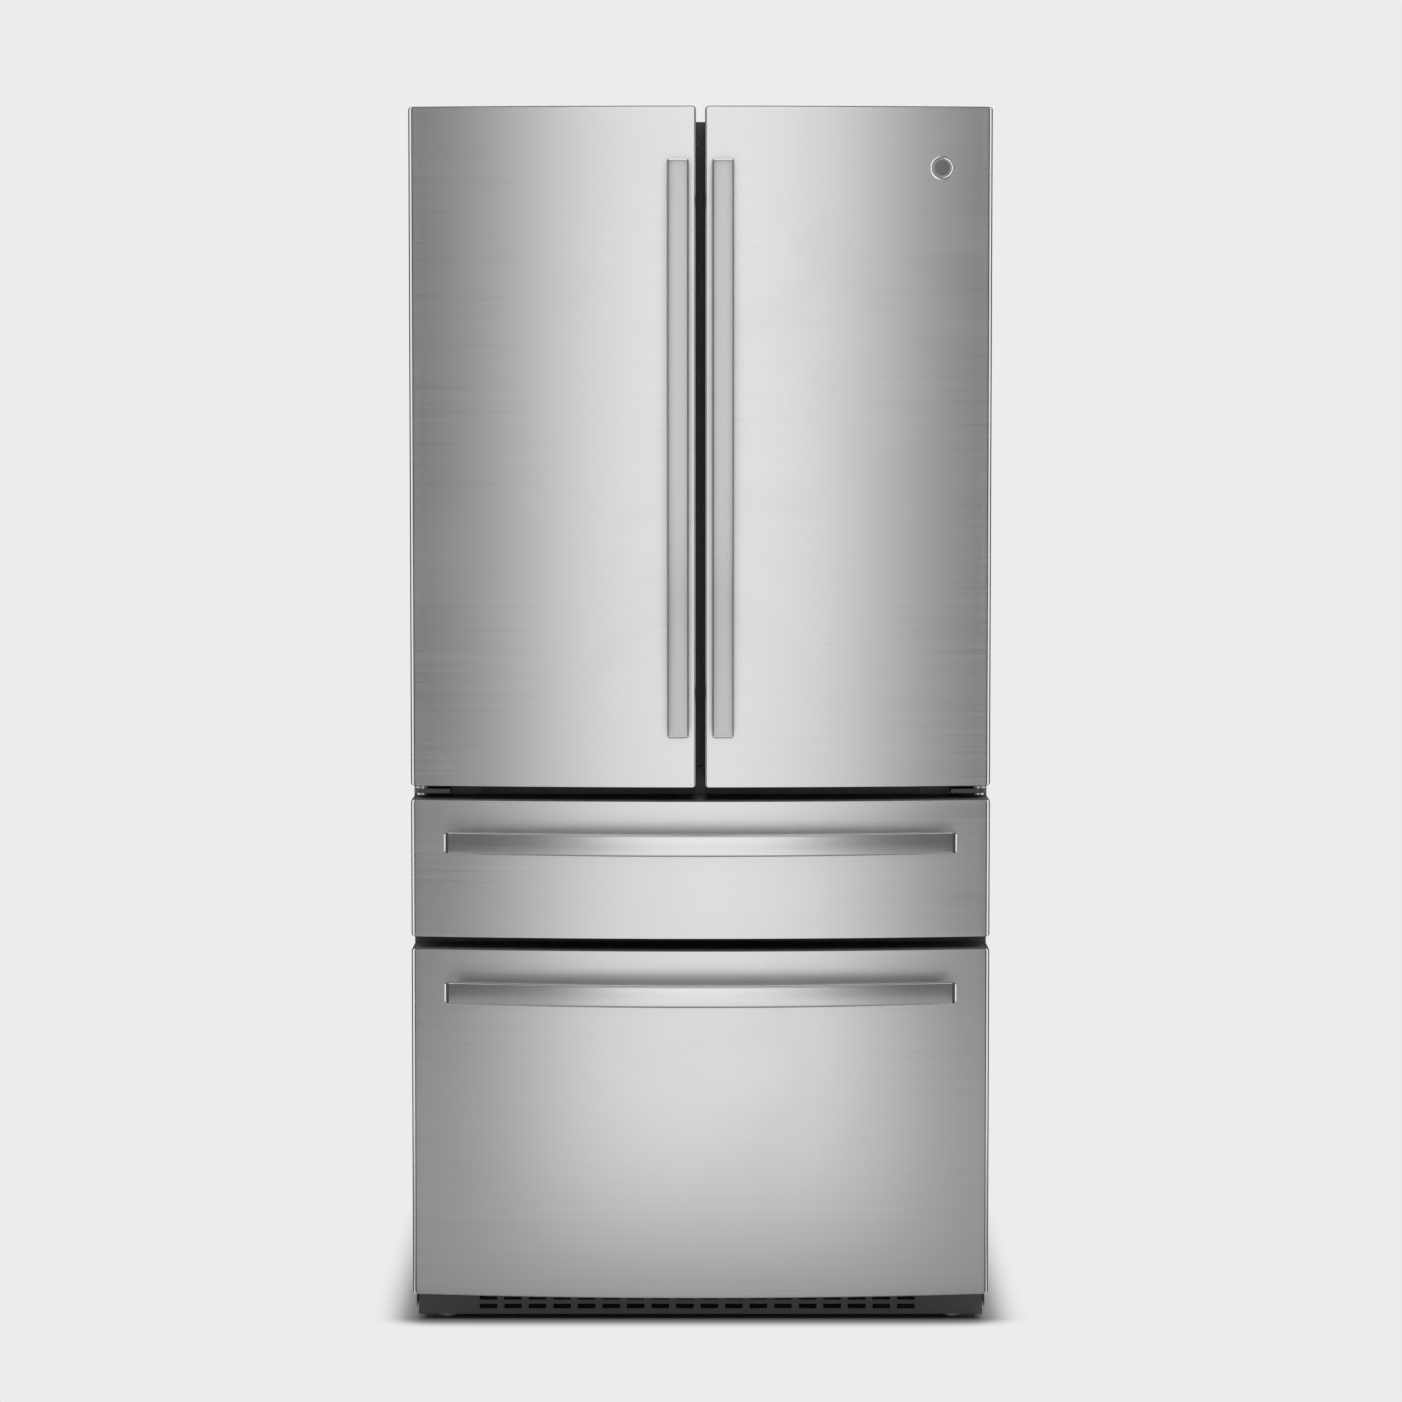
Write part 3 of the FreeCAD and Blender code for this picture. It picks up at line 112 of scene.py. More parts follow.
def tube_surface(sections: Array) -> tuple[Array, list]:
    """A closed skin over a run of closed sections, with a flat face at each end.

    Args:
        sections: (rows, columns, 3) array; each row is one closed section.

    Returns:
        Points and faces.
    """
    rows, columns, _ = sections.shape
    faces = grid_faces(rows, columns, wrap_columns=True)
    faces += [list(range(columns))[::-1], [(rows - 1) * columns + i for i in range(columns)]]
    points = sections.reshape(-1, 3)
    return points, turned_outwards(points, faces)


def stacked(outlines: Array, heights: Array, middle: tuple[float, float]) -> tuple[Array, list]:
    """A closed skin over level outlines, each lifted to its own height.

    Args:
        outlines: (rows, columns, 2) array of outlines about the origin.
        heights: one height to a row.
        middle: place of the outlines' origin.

    Returns:
        Points and faces.
    """
    flat = outlines + np.array(middle)
    z = np.broadcast_to(heights[:, None, None], flat.shape[:2] + (1,))
    return tube_surface(np.concatenate([flat, z], 2))


def ring_surface(sections: Array) -> tuple[Array, list]:
    """A closed skin over sections that run round a loop, the last joined to the first."""
    rows, columns, _ = sections.shape
    points = sections.reshape(-1, 3)
    return points, turned_outwards(points, grid_faces(rows, columns, True, True))


def shell_surface(outer: Array, inner: Array) -> tuple[Array, list]:
    """A walled sheet: an outer and an inner grid of the same shape, joined along all four borders.

    Args:
        outer: (rows, columns, 3) grid of the outside.
        inner: the same grid, one wall thickness further in.

    Returns:
        Points and faces of the closed wall.
    """
    rows, columns, _ = outer.shape
    count = rows * columns
    index = np.arange(count).reshape(rows, columns)
    border = np.concatenate([index[0], index[1:, -1], index[-1, -2::-1], index[-2:0:-1, 0]])
    after = np.roll(border, -1)
    faces = grid_faces(rows, columns)
    faces += [[i + count for i in f[::-1]] for f in faces]
    faces += np.stack([after, border, border + count, after + count], 1).tolist()
    points = np.concatenate([outer.reshape(-1, 3), inner.reshape(-1, 3)])
    return points, turned_outwards(points, faces)


def joined(pieces: list[tuple[Array, list]]) -> tuple[Array, list]:
    """Several surfaces as one list of points and faces."""
    points, faces, start = [], [], 0
    for some_points, some_faces in pieces:
        points.append(some_points)
        faces += [[i + start for i in f] for f in some_faces]
        start += len(some_points)
    return np.concatenate(points), faces


def rounded_outline(width: float, height: float, radius: float, steps: int = 6) -> Array:
    """A rounded rectangle about the origin, anticlockwise: four quarter circles at its corners."""
    quarter = np.linspace(0.0, math.pi / 2, steps)
    x, y = width / 2 - radius, height / 2 - radius
    corners = ((x, y, 0.0), (-x, y, 0.5), (-x, -y, 1.0), (x, -y, 1.5))
    return np.concatenate([
        np.stack([cx + radius * np.cos(turn), cy + radius * np.sin(turn)], 1)
        for cx, cy, turn in ((cx, cy, quarter + t * math.pi) for cx, cy, t in corners)
    ])


def outline_normals(outline: Array) -> Array:
    """Unit normals of a closed anticlockwise outline: the tangent turned right a quarter turn."""
    tangent = np.roll(outline, -1, 0) - np.roll(outline, 1, 0)
    normal = np.stack([tangent[:, 1], -tangent[:, 0]], 1)
    return normal / np.linalg.norm(normal, axis=1, keepdims=True)


def rounded_block(low: Triple, high: Triple, radius: float, edge: float = 0.8) -> tuple[Array, list]:
    """A block with upright edges of one radius and small rounded rims at the top and bottom.

    The section is a rounded rectangle; it is drawn in by edge * (1 - cos t) while it rises by
    edge * sin t over the last few rows, so both rims are quarter circles.
    """
    x0, y0, z0 = low
    x1, y1, z1 = high
    turn = np.linspace(0.0, math.pi / 2, 5)
    drawn_in = np.concatenate([edge * (1 - np.cos(turn[::-1])), edge * (1 - np.cos(turn))])
    rise = np.concatenate([z0 + edge - edge * np.sin(turn[::-1]), z1 - edge + edge * np.sin(turn)])
    outline = rounded_outline(x1 - x0, y1 - y0, radius)
    normal = outline_normals(outline)
    flat = outline[None] - drawn_in[:, None, None] * normal[None]
    return stacked(flat, rise, ((x0 + x1) / 2, (y0 + y1) / 2))


def lathe_surface(profile: Array, base: Array, axis: Array, steps: int = 48) -> tuple[Array, list]:
    """A profile turned about an axis.

    Args:
        profile: (n, 2) pairs of radius and height along the axis, first and last on the axis.
        base: point on the axis at height nought.
        axis: direction of the axis.
        steps: number of sections round the turn.

    Returns:
        Points and faces, closed at both poles.
    """
    axis = np.asarray(axis, float) / np.linalg.norm(axis)
    side = np.cross(axis, [0.0, 0.0, 1.0] if abs(axis[2]) < 0.9 else [1.0, 0.0, 0.0])
    side /= np.linalg.norm(side)
    other = np.cross(axis, side)
    angle = np.linspace(0.0, 2 * math.pi, steps, endpoint=False)
    ring = np.cos(angle)[:, None] * side + np.sin(angle)[:, None] * other
    body = profile[1:-1]
    walls = body[:, 0, None, None] * ring[None] + body[:, 1, None, None] * axis + np.asarray(base)
    rows = len(body)
    points = np.concatenate([
        walls.reshape(-1, 3),
        [np.asarray(base) + profile[0, 1] * axis, np.asarray(base) + profile[-1, 1] * axis],
    ])
    faces = grid_faces(rows, steps, wrap_columns=True)
    low, high, top = rows * steps, rows * steps + 1, (rows - 1) * steps
    near = np.arange(steps)
    faces += np.stack([np.full(steps, low), (near + 1) % steps, near], 1).tolist()
    faces += np.stack([np.full(steps, high), top + near, top + (near + 1) % steps], 1).tolist()
    return points, turned_outwards(points, faces)


def eased(first: float, last: float, steps: int, radius: float) -> tuple[Array, Array]:
    """Places along a run, crowded at both ends, and how far a rounded end draws the section in.

    The inset near an end is radius minus the height of a quarter circle of that radius.
    """
    end = radius * (1 - np.cos(np.linspace(0.0, math.pi / 2, 7)))
    middle = np.linspace(first + radius, last - radius, steps)
    places = np.concatenate([first + end, middle[1:-1], (last - end)[::-1]])
    depth = np.minimum(places - first, last - places).clip(0.0, radius)
    return places, radius - np.sqrt(radius**2 - (radius - depth) ** 2)


def face_values(made: bpy.types.Object, key: str) -> Array:
    """The "normal" or the "center" of every face of an object, one row to a face."""
    values = np.zeros(len(made.data.polygons) * 3)
    made.data.polygons.foreach_get(key, values)
    return values.reshape(-1, 3)


# ------------------------------------------------------------------ node sheets
@dataclass
class NodeSheet:
    """A node tree that is being drawn, with short calls to add and link nodes."""

    tree: bpy.types.NodeTree

    def add(self, kind: str, inputs: dict | None = None, **settings: object) -> bpy.types.Node:
        """Adds a node.

        Args:
            kind: its type, without the "ShaderNode" prefix.
            inputs: by socket name or number, a value or a socket to link from.
            settings: properties of the node.

        Returns:
            The node.
        """
        node = self.tree.nodes.new(kind if kind.startswith("NodeGroup") else "ShaderNode" + kind)
        for key, value in settings.items():
            setattr(node, key, value)
        for key, value in (inputs or {}).items():
            self.feed(node.inputs[key], value)
        return node

    def feed(self, socket: bpy.types.NodeSocket, value: object) -> None:
        """Links a socket to the input, or sets the input's own value."""
        if isinstance(value, bpy.types.NodeSocket):
            self.tree.links.new(value, socket)
        else:
            socket.default_value = value

    def math(self, operation: str, first: object, second: object = 0.0) -> bpy.types.NodeSocket:
        """A math node on two values or sockets."""
        return self.add("Math", {0: first, 1: second}, operation=operation).outputs[0]

    def noise(self, vector: object, scale: object = 1.0, **more: float) -> bpy.types.NodeSocket:
        """The value of a noise node; more holds its other inputs by name."""
        return self.add("TexNoise", {"Vector": vector, "Scale": scale, **more}).outputs[0]

    def ramp(self, value: bpy.types.NodeSocket,
             stops: tuple[tuple[float, float], ...]) -> bpy.types.NodeSocket:
        """A colour ramp from grey stops of (place, level)."""
        node = self.add("ValToRGB", {0: value})
        marks = node.color_ramp.elements
        while len(marks) < len(stops):
            marks.new(0.5)
        for mark, (place, level) in zip(marks, stops):
            mark.position = place
            mark.color = (level, level, level, 1.0)
        return node.outputs[0]

    def mix_colour(self, amount: object, first: object, second: object) -> bpy.types.NodeSocket:
        """A colour mix; the amount runs from the first to the second."""
        node = self.add("Mix", data_type="RGBA")
        for place, value in ((0, amount), (6, first), (7, second)):
            self.feed(node.inputs[place], value)
        return node.outputs[2]


def start_group(name: str, inputs: dict[str, float | Triple], outputs: tuple[str, ...]) -> tuple:
    """Starts a shader node group.

    Args:
        name: its name.
        inputs: name and default of each input; a triple makes a vector.
        outputs: names of the value outputs.

    Returns:
        The sheet, the group's input node and its output node.
    """
    tree = bpy.data.node_groups.new(name, "ShaderNodeTree")
    for title, default in inputs.items():
        kind = "NodeSocketVector" if isinstance(default, tuple) else "NodeSocketFloat"
        tree.interface.new_socket(title, in_out="INPUT", socket_type=kind).default_value = default
    for title in outputs:
        tree.interface.new_socket(title, in_out="OUTPUT", socket_type="NodeSocketFloat")
    sheet = NodeSheet(tree)
    return sheet, sheet.add("NodeGroupInput"), sheet.add("NodeGroupOutput")


class Effect(Enum):
    """Surface effects that several materials share, each drawn once as a node group."""

    GRAIN = "brushed grain"
    SMUDGES = "handling smudges"
    SCRATCHES = "fine scratches"
    DUST = "settled dust"
    PEBBLE = "moulded pebble"
    MOTTLE = "broad mottle"

    def tree(self) -> bpy.types.NodeTree:
        """The effect's node group, drawn on first use."""
        found = bpy.data.node_groups.get(self.value)
        if found is None:
            DRAWERS[self]()
            found = bpy.data.node_groups[self.value]
        return found


def draw_grain() -> None:
    """Brushed lines: noise stretched along one axis, at a fine and a coarser size, averaged."""
    sheet, given, made = start_group(
        Effect.GRAIN.value, {"Vector": (0.0, 0.0, 0.0), "Across": (3.0, 900.0, 900.0)}, ("Shade", "Height"))
    stretched = sheet.add("VectorMath", {0: given.outputs[0], 1: given.outputs[1]}, operation="MULTIPLY")
    scaled = stretched.outputs[0]
    fine = sheet.noise(scaled, Detail=3.0, Roughness=0.6)
    coarser = sheet.add("VectorMath", {0: scaled, "Scale": 0.23}, operation="SCALE").outputs[0]
    broad = sheet.noise(coarser, Detail=2.0)
    both = sheet.math("ADD", sheet.math("MULTIPLY", fine, 0.62), sheet.math("MULTIPLY", broad, 0.38))
    sheet.feed(made.inputs["Shade"], sheet.ramp(both, ((0.28, 0.0), (0.72, 1.0))))
    sheet.feed(made.inputs["Height"], both)


def draw_smudges() -> None:
    """Soft patches where hands and cloths have been: warped noise passed through a ramp."""
    sheet, given, made = start_group(
        Effect.SMUDGES.value, {"Vector": (0.0, 0.0, 0.0), "Size": 5.0, "Cover": 0.5}, ("Mask",))
    noise = sheet.noise(given.outputs[0], given.outputs[1], Detail=5.0, Roughness=0.55, Distortion=0.8)
    lifted = sheet.math("ADD", noise, sheet.math("SUBTRACT", given.outputs[2], 0.5))
    sheet.feed(made.inputs["Mask"], sheet.ramp(lifted, ((0.42, 0.0), (0.66, 1.0))))


def draw_scratches() -> None:
    """Hairline scratches: thin bands of two stretched and warped noises, kept only in patches."""
    sheet, given, made = start_group(
        Effect.SCRATCHES.value, {"Vector": (0.0, 0.0, 0.0), "Size": 40.0, "Amount": 0.5}, ("Mask",))
    bands = []
    for turn, stretch in ((0.6, (0.05, 1.0, 1.0)), (2.1, (1.0, 0.06, 1.0))):
        turned = sheet.add(
            "Mapping", {"Vector": given.outputs[0], "Rotation": (turn, turn, turn), "Scale": stretch})
        noise = sheet.noise(turned.outputs[0], given.outputs[1], Detail=4.0, Distortion=1.2)
        from_middle = sheet.math("ABSOLUTE", sheet.math("SUBTRACT", noise, 0.5))
        bands.append(sheet.ramp(from_middle, ((0.0, 1.0), (0.006, 0.0))))
    patches = sheet.noise(given.outputs[0], 4.0, Detail=2.0)
    kept = sheet.ramp(patches, ((0.48, 0.0), (0.62, 1.0)))
    both = sheet.math("MULTIPLY", sheet.math("MAXIMUM", bands[0], bands[1]), kept)
    sheet.feed(made.inputs["Mask"], sheet.math("MULTIPLY", both, given.outputs[2]))


def draw_dust() -> None:
    """Dust on faces that look up: the upward part of the normal times a cloudy noise."""
    sheet, given, made = start_group(
        Effect.DUST.value, {"Vector": (0.0, 0.0, 0.0), "Amount": 0.5}, ("Mask",))
    normal = sheet.add("NewGeometry").outputs["Normal"]
    upward = sheet.ramp(sheet.add("SeparateXYZ", {0: normal}).outputs[2], ((0.45, 0.0), (0.95, 1.0)))
    noise = sheet.noise(given.outputs[0], 34.0, Detail=6.0)
    cloudy = sheet.math("MULTIPLY", upward, sheet.ramp(noise, ((0.3, 0.35), (0.7, 1.0))))
    sheet.feed(made.inputs["Mask"], sheet.math("MULTIPLY", cloudy, given.outputs[1]))


def draw_pebble() -> None:
    """Moulded or sprayed texture: rounded cells with a little noise over them."""
    sheet, given, made = start_group(
        Effect.PEBBLE.value, {"Vector": (0.0, 0.0, 0.0), "Size": 600.0}, ("Height",))
    cells = sheet.add("TexVoronoi", {"Vector": given.outputs[0], "Scale": given.outputs[1]},
                      feature="SMOOTH_F1").outputs[0]
    noise = sheet.noise(given.outputs[0], given.outputs[1], Detail=2.0)
    both = sheet.math("ADD", sheet.math("MULTIPLY", cells, 0.6), sheet.math("MULTIPLY", noise, 0.4))
    sheet.feed(made.inputs["Height"], both)


def draw_mottle() -> None:
    """Slow change of tone over a whole panel: one broad noise about the middle grey."""
    sheet, given, made = start_group(
        Effect.MOTTLE.value, {"Vector": (0.0, 0.0, 0.0), "Size": 3.0}, ("Shade",))
    noise = sheet.noise(given.outputs[0], given.outputs[1], Detail=4.0)
    sheet.feed(made.inputs["Shade"], sheet.ramp(noise, ((0.3, 0.0), (0.7, 1.0))))


DRAWERS = {
    Effect.GRAIN: draw_grain,
    Effect.SMUDGES: draw_smudges,
    Effect.SCRATCHES: draw_scratches,
    Effect.DUST: draw_dust,
    Effect.PEBBLE: draw_pebble,
    Effect.MOTTLE: draw_mottle,
}


# ------------------------------------------------------------------ finishes
@dataclass(frozen=True)
class Finish:
    """What every finish has; subclasses draw their own colour, roughness and relief."""

    name: str
    slot: str
    colour: Triple
    roughness: float = 0.5

    def material(self) -> bpy.types.Material:
        """The finish's material, drawn on first use."""
        found = bpy.data.materials.get(self.name)
        if found is None:
            found = bpy.data.materials.new(self.name)
            found.use_nodes = True
            sheet = NodeSheet(found.node_tree)
            shader = found.node_tree.nodes["Principled BSDF"]
            place = sheet.add("TexCoord").outputs["Object"]
            self.draw(sheet, shader, place)
        return found

    def draw(self, sheet: NodeSheet, shader: bpy.types.Node, place: bpy.types.NodeSocket) -> None:
        """Draws the finish; the plain one has broad mottle, smudges and a pebbled relief."""
        self.tint(sheet, shader, place, 0.06)
        self.relief(sheet, shader, self.effect(sheet, Effect.PEBBLE, "Height", Vector=place), 0.04, 0.0002)

    def effect(self, sheet: NodeSheet, effect: Effect, output: str, **inputs: object) -> bpy.types.NodeSocket:
        """Places a shared effect and gives one of its outputs."""
        node = sheet.add("Group", node_tree=effect.tree())
        for title, value in inputs.items():
            sheet.feed(node.inputs[title], value)
        return node.outputs[output]

    def shade(self, factor: float) -> tuple[float, float, float, float]:
        """The finish's colour times a factor."""
        red, green, blue = (min(1.0, c * factor) for c in self.colour)
        return (red, green, blue, 1.0)

    def tint(self, sheet: NodeSheet, shader: bpy.types.Node, place: bpy.types.NodeSocket, spread: float,
             dust: float = 0.0, size: float = 3.0) -> None:
        """Base colour with broad mottle and dust, and roughness that smudges raise.

        Args:
            sheet: the material's sheet.
            shader: its Principled node.
            place: the vector that the effects read.
            spread: how far the mottle moves the colour either way.
            dust: how much dust lies on faces that look up.
            size: scale of the mottle.
        """
        mottle = self.effect(sheet, Effect.MOTTLE, "Shade", Vector=place, Size=size)
        colour = sheet.mix_colour(mottle, self.shade(1 - spread), self.shade(1 + spread))
        smudge = self.effect(sheet, Effect.SMUDGES, "Mask", Vector=place, Cover=0.5)
        rough = sheet.math("ADD", sheet.math("MULTIPLY", smudge, 0.08), self.roughness)
        if dust:
            mask = self.effect(sheet, Effect.DUST, "Mask", Vector=place, Amount=dust)
            colour = sheet.mix_colour(mask, colour, (0.42, 0.4, 0.37, 1.0))
            rough = sheet.math("MAXIMUM", rough, sheet.math("MULTIPLY", mask, 0.9))
        self.cover(sheet, shader, colour, rough)

    def cover(self, sheet: NodeSheet, shader: bpy.types.Node, colour: object, rough: object) -> None:
        """Feeds the shader's base colour and roughness."""
        sheet.feed(shader.inputs["Base Color"], colour)
        sheet.feed(shader.inputs["Roughness"], rough)

    def relief(self, sheet: NodeSheet, shader: bpy.types.Node, height: bpy.types.NodeSocket,
               strength: float, distance: float) -> None:
        """Bump from a height, in metres."""
        bump = sheet.add("Bump", {"Height": height, "Strength": strength, "Distance": distance})
        sheet.feed(shader.inputs["Normal"], bump.outputs[0])


@dataclass(frozen=True)
class BrushedSteel(Finish):
    """Stainless sheet, brushed along one axis: the grain shades it and moves its roughness."""

    across: Triple = (3.0, 3.0, 900.0)
    contrast: float = 0.05
    spread: float = 0.07
    bump: float = 0.1

    def draw(self, sheet: NodeSheet, shader: bpy.types.Node, place: bpy.types.NodeSocket) -> None:
        """Grain in colour, roughness and relief, with faint smudges."""
        grain = sheet.add("Group", node_tree=Effect.GRAIN.tree())
        sheet.feed(grain.inputs["Vector"], place)
        sheet.feed(grain.inputs["Across"], self.across)
        shade = grain.outputs["Shade"]
        colour = sheet.mix_colour(shade, self.shade(1 - self.contrast), self.shade(1 + self.contrast))
        broad = self.effect(sheet, Effect.MOTTLE, "Shade", Vector=place, Size=1.4)
        colour = sheet.mix_colour(sheet.math("MULTIPLY", broad, 0.05), colour, self.shade(0.8))
        smudge = self.effect(sheet, Effect.SMUDGES, "Mask", Vector=place, Size=3.5, Cover=0.42)
        rough = sheet.math("MULTIPLY", shade, self.spread)
        rough = sheet.math("ADD", rough, sheet.math("MULTIPLY", smudge, 0.03))
        rough = sheet.math("ADD", rough, self.roughness)
        self.cover(sheet, shader, colour, rough)
        shader.inputs["Metallic"].default_value = 1.0
        self.relief(sheet, shader, grain.outputs["Height"], self.bump, 0.00006)


@dataclass(frozen=True)
class Plastic(Finish):
    """Moulded plastic: slight mottle, rubbed patches, hairline scratches and a fine pebble."""

    pebble: float = 0.05
    size: float = 900.0
    dust: float = 0.15
    spread: float = 0.04
    marks: float = 0.3

    def draw(self, sheet: NodeSheet, shader: bpy.types.Node, place: bpy.types.NodeSocket) -> None:
        """Mottled colour with dust above, and the pebble less the scratches as relief."""
        self.tint(sheet, shader, place, self.spread, self.dust, 6.0)
        pebble = self.effect(sheet, Effect.PEBBLE, "Height", Vector=place, Size=self.size)
        marks = self.effect(sheet, Effect.SCRATCHES, "Mask", Vector=place, Amount=self.marks)
        self.relief(sheet, shader, sheet.math("SUBTRACT", pebble, marks), self.pebble, 0.0003)
        shader.inputs["Specular IOR Level"].default_value = 0.45


@dataclass(frozen=True)
class Lens(Plastic):
    """Milky lamp lens that glows evenly."""

    glow: float = 5.0

    def draw(self, sheet: NodeSheet, shader: bpy.types.Node, place: bpy.types.NodeSocket) -> None:
        """The plastic's own finish with a plain glow."""
        super().draw(sheet, shader, place)
        shader.inputs["Emission Color"].default_value = (1.0, 0.97, 0.93, 1.0)
        shader.inputs["Emission Strength"].default_value = self.glow


@dataclass(frozen=True)
class SprayedSteel(Finish):
    """Painted sheet steel with an orange-peel surface, smudged and a little dusty on top."""

    peel: float = 260.0
    depth: float = 0.16
    dust: float = 0.18
    coat: float = 0.12
    specular: float = 0.5

    def draw(self, sheet: NodeSheet, shader: bpy.types.Node, place: bpy.types.NodeSocket) -> None:
        """Mottled paint over a peeled relief."""
        self.tint(sheet, shader, place, 0.025, self.dust, 2.0)
        peel = self.effect(sheet, Effect.PEBBLE, "Height", Vector=place, Size=self.peel)
        marks = self.effect(sheet, Effect.SCRATCHES, "Mask", Vector=place, Amount=0.4)
        self.relief(sheet, shader, sheet.math("SUBTRACT", peel, marks), self.depth, 0.0004)
        shader.inputs["Coat Weight"].default_value = self.coat
        shader.inputs["Coat Roughness"].default_value = 0.3
        shader.inputs["Specular IOR Level"].default_value = self.specular


@dataclass(frozen=True)
class ZincCoat(Finish):
    """Zinc coat: flat crystals of slightly different tone, dulled in patches."""

    crystal: float = 90.0
    spread: float = 0.16

    def draw(self, sheet: NodeSheet, shader: bpy.types.Node, place: bpy.types.NodeSocket) -> None:
        """Each crystal has its own tone and gloss; patches of white bloom dull them."""
        cells = sheet.add("TexVoronoi", {"Vector": place, "Scale": self.crystal, "Randomness": 1.0})
        tone = sheet.add("SeparateColor", {0: cells.outputs["Color"]}).outputs[0]
        colour = sheet.mix_colour(tone, self.shade(1 - self.spread), self.shade(1 + self.spread))
        bloom = self.effect(sheet, Effect.SMUDGES, "Mask", Vector=place, Size=14.0, Cover=0.4)
        colour = sheet.mix_colour(sheet.math("MULTIPLY", bloom, 0.35), colour, (0.62, 0.63, 0.64, 1.0))
        rough = sheet.math("ADD", sheet.math("MULTIPLY", tone, 0.12), self.roughness)
        rough = sheet.math("ADD", rough, sheet.math("MULTIPLY", bloom, 0.15))
        self.cover(sheet, shader, colour, rough)
        shader.inputs["Metallic"].default_value = 1.0
        self.relief(sheet, shader, tone, 0.06, 0.0003)


@dataclass(frozen=True)
class Clear(Finish):
    """See-through plastic or glass, faintly smudged and scratched."""

    ior: float = 1.49
    haze: float = 0.05

    def draw(self, sheet: NodeSheet, shader: bpy.types.Node, place: bpy.types.NodeSocket) -> None:
        """A plain transmitting body; smudges and scratches roughen it."""
        smudge = self.effect(sheet, Effect.SMUDGES, "Mask", Vector=place, Size=7.0, Cover=0.45)
        marks = self.effect(sheet, Effect.SCRATCHES, "Mask", Vector=place, Amount=0.5)
        rough = sheet.math("ADD", sheet.math("MULTIPLY", smudge, self.haze), self.roughness)
        rough = sheet.math("ADD", rough, sheet.math("MULTIPLY", marks, 0.2))
        mottle = self.effect(sheet, Effect.MOTTLE, "Shade", Vector=place, Size=2.0)
        colour = sheet.mix_colour(mottle, self.shade(0.985), self.shade(1.0))
        self.cover(sheet, shader, colour, rough)
        shader.inputs["Transmission Weight"].default_value = 1.0
        shader.inputs["IOR"].default_value = self.ior


STEEL = BrushedSteel("brushed stainless", "stainless", (0.655, 0.655, 0.655), 0.26)
# Brighter steel on the rounded outer corners of the fronts: a painted highlight along the roll.
EDGE_STEEL_PAINTED_HIGHLIGHT = BrushedSteel("rolled edge steel, painted highlight", "stainless", (0.93, 0.93, 0.93), 0.2,
                           contrast=0.02, spread=0.03, bump=0.03)
BADGE_ENAMEL = SprayedSteel("badge enamel", "dark_plastic", (0.115, 0.118, 0.112), 0.3,
                            peel=600.0, depth=0.04, dust=0.0)
# Dark matt enamel on door and drawer sides, rims and handle ends: partly the sides' own paint, partly painted
# shade and painted dark reflection.
SIDE_ENAMEL_PAINTED_SHADE_AND_REFLECTION = SprayedSteel("door side enamel, painted shade and dark reflection", "stainless", (0.055, 0.056, 0.059), 0.62,
                          peel=420.0, depth=0.04, dust=0.0, coat=0.0, specular=0.12)
HINGE_PAINT = SprayedSteel("hinge enamel", "zinc", (0.07, 0.072, 0.076), 0.36,
                           peel=500.0, depth=0.06, dust=0.1)
# Upright handles: the same satin steel as the level ones, its colour darkened as painted shade.
STEEL_UPRIGHT_PAINTED_SHADE = BrushedSteel("satin handle steel upright, painted shade", "stainless", (0.41, 0.41, 0.41), 0.17,
                             across=(700.0, 4.0, 4.0), contrast=0.02, spread=0.03, bump=0.02)
STEEL_LEVEL = BrushedSteel("satin handle steel level", "stainless", (0.63, 0.635, 0.64), 0.24,
                           across=(4.0, 4.0, 700.0), contrast=0.02, spread=0.03, bump=0.02)
CASE_PAINT = SprayedSteel("case paint", "case_paint", (0.13, 0.133, 0.138), 0.42)
FRAME_PAINT = SprayedSteel("frame enamel", "case_paint", (0.05, 0.052, 0.055), 0.4, dust=0.0)
BLACK_PAINT = SprayedSteel("black enamel", "black_metal", (0.012, 0.012, 0.013), 0.38, peel=180.0, depth=0.1)
GALVANISED = ZincCoat("galvanised sheet", "galvanised", (0.52, 0.53, 0.54), 0.36, crystal=110.0, spread=0.07)
ZINC = ZincCoat("zinc plate", "zinc", (0.62, 0.63, 0.64), 0.28, crystal=700.0, spread=0.05)
# Handle ends and the badge ring: polished, with a colour lighter than the steel's own as a painted highlight.
POLISHED_STEEL_PAINTED_HIGHLIGHT = BrushedSteel("polished handle end, painted highlight", "stainless", (0.9, 0.9, 0.9), 0.14,
                            across=(500.0, 500.0, 500.0), contrast=0.02, spread=0.02, bump=0.01)
TRIM = Plastic("satin shelf trim", "grey_plastic", (0.5, 0.51, 0.52), 0.32, size=900.0, pebble=0.03, dust=0.0)
ALUMINIUM = BrushedSteel("fin aluminium", "fin_aluminium", (0.72, 0.73, 0.74), 0.32,
                         across=(40.0, 200.0, 900.0), contrast=0.06)
DARK_PLASTIC = Plastic("dark grey plastic", "dark_plastic", (0.055, 0.057, 0.06), 0.45,
                       size=700.0, pebble=0.12)
WHITE_LINER = Plastic("white liner plastic", "white_liner", (0.78, 0.79, 0.79), 0.3, size=300.0, dust=0.04,
                      spread=0.015)
LENS = Lens("lamp lens", "white_liner", (0.85, 0.85, 0.84), 0.35, size=500.0, pebble=0.05, dust=0.0)
GREY_PLASTIC = Plastic("grey plastic", "grey_plastic", (0.2, 0.205, 0.21), 0.5, size=800.0, pebble=0.1)
SEAL = Plastic("seal rubber", "seal_rubber", (0.1, 0.102, 0.105), 0.62, size=1200.0, pebble=0.1, dust=0.25)
FOAM = Plastic("insulating foam", "insulation", (0.72, 0.55, 0.27), 0.85, size=260.0, pebble=0.9, dust=0.0,
               spread=0.12)
CLEAR_PLASTIC = Clear("clear bin plastic", "clear_plastic", (0.975, 0.985, 0.99), 0.05, haze=0.06)
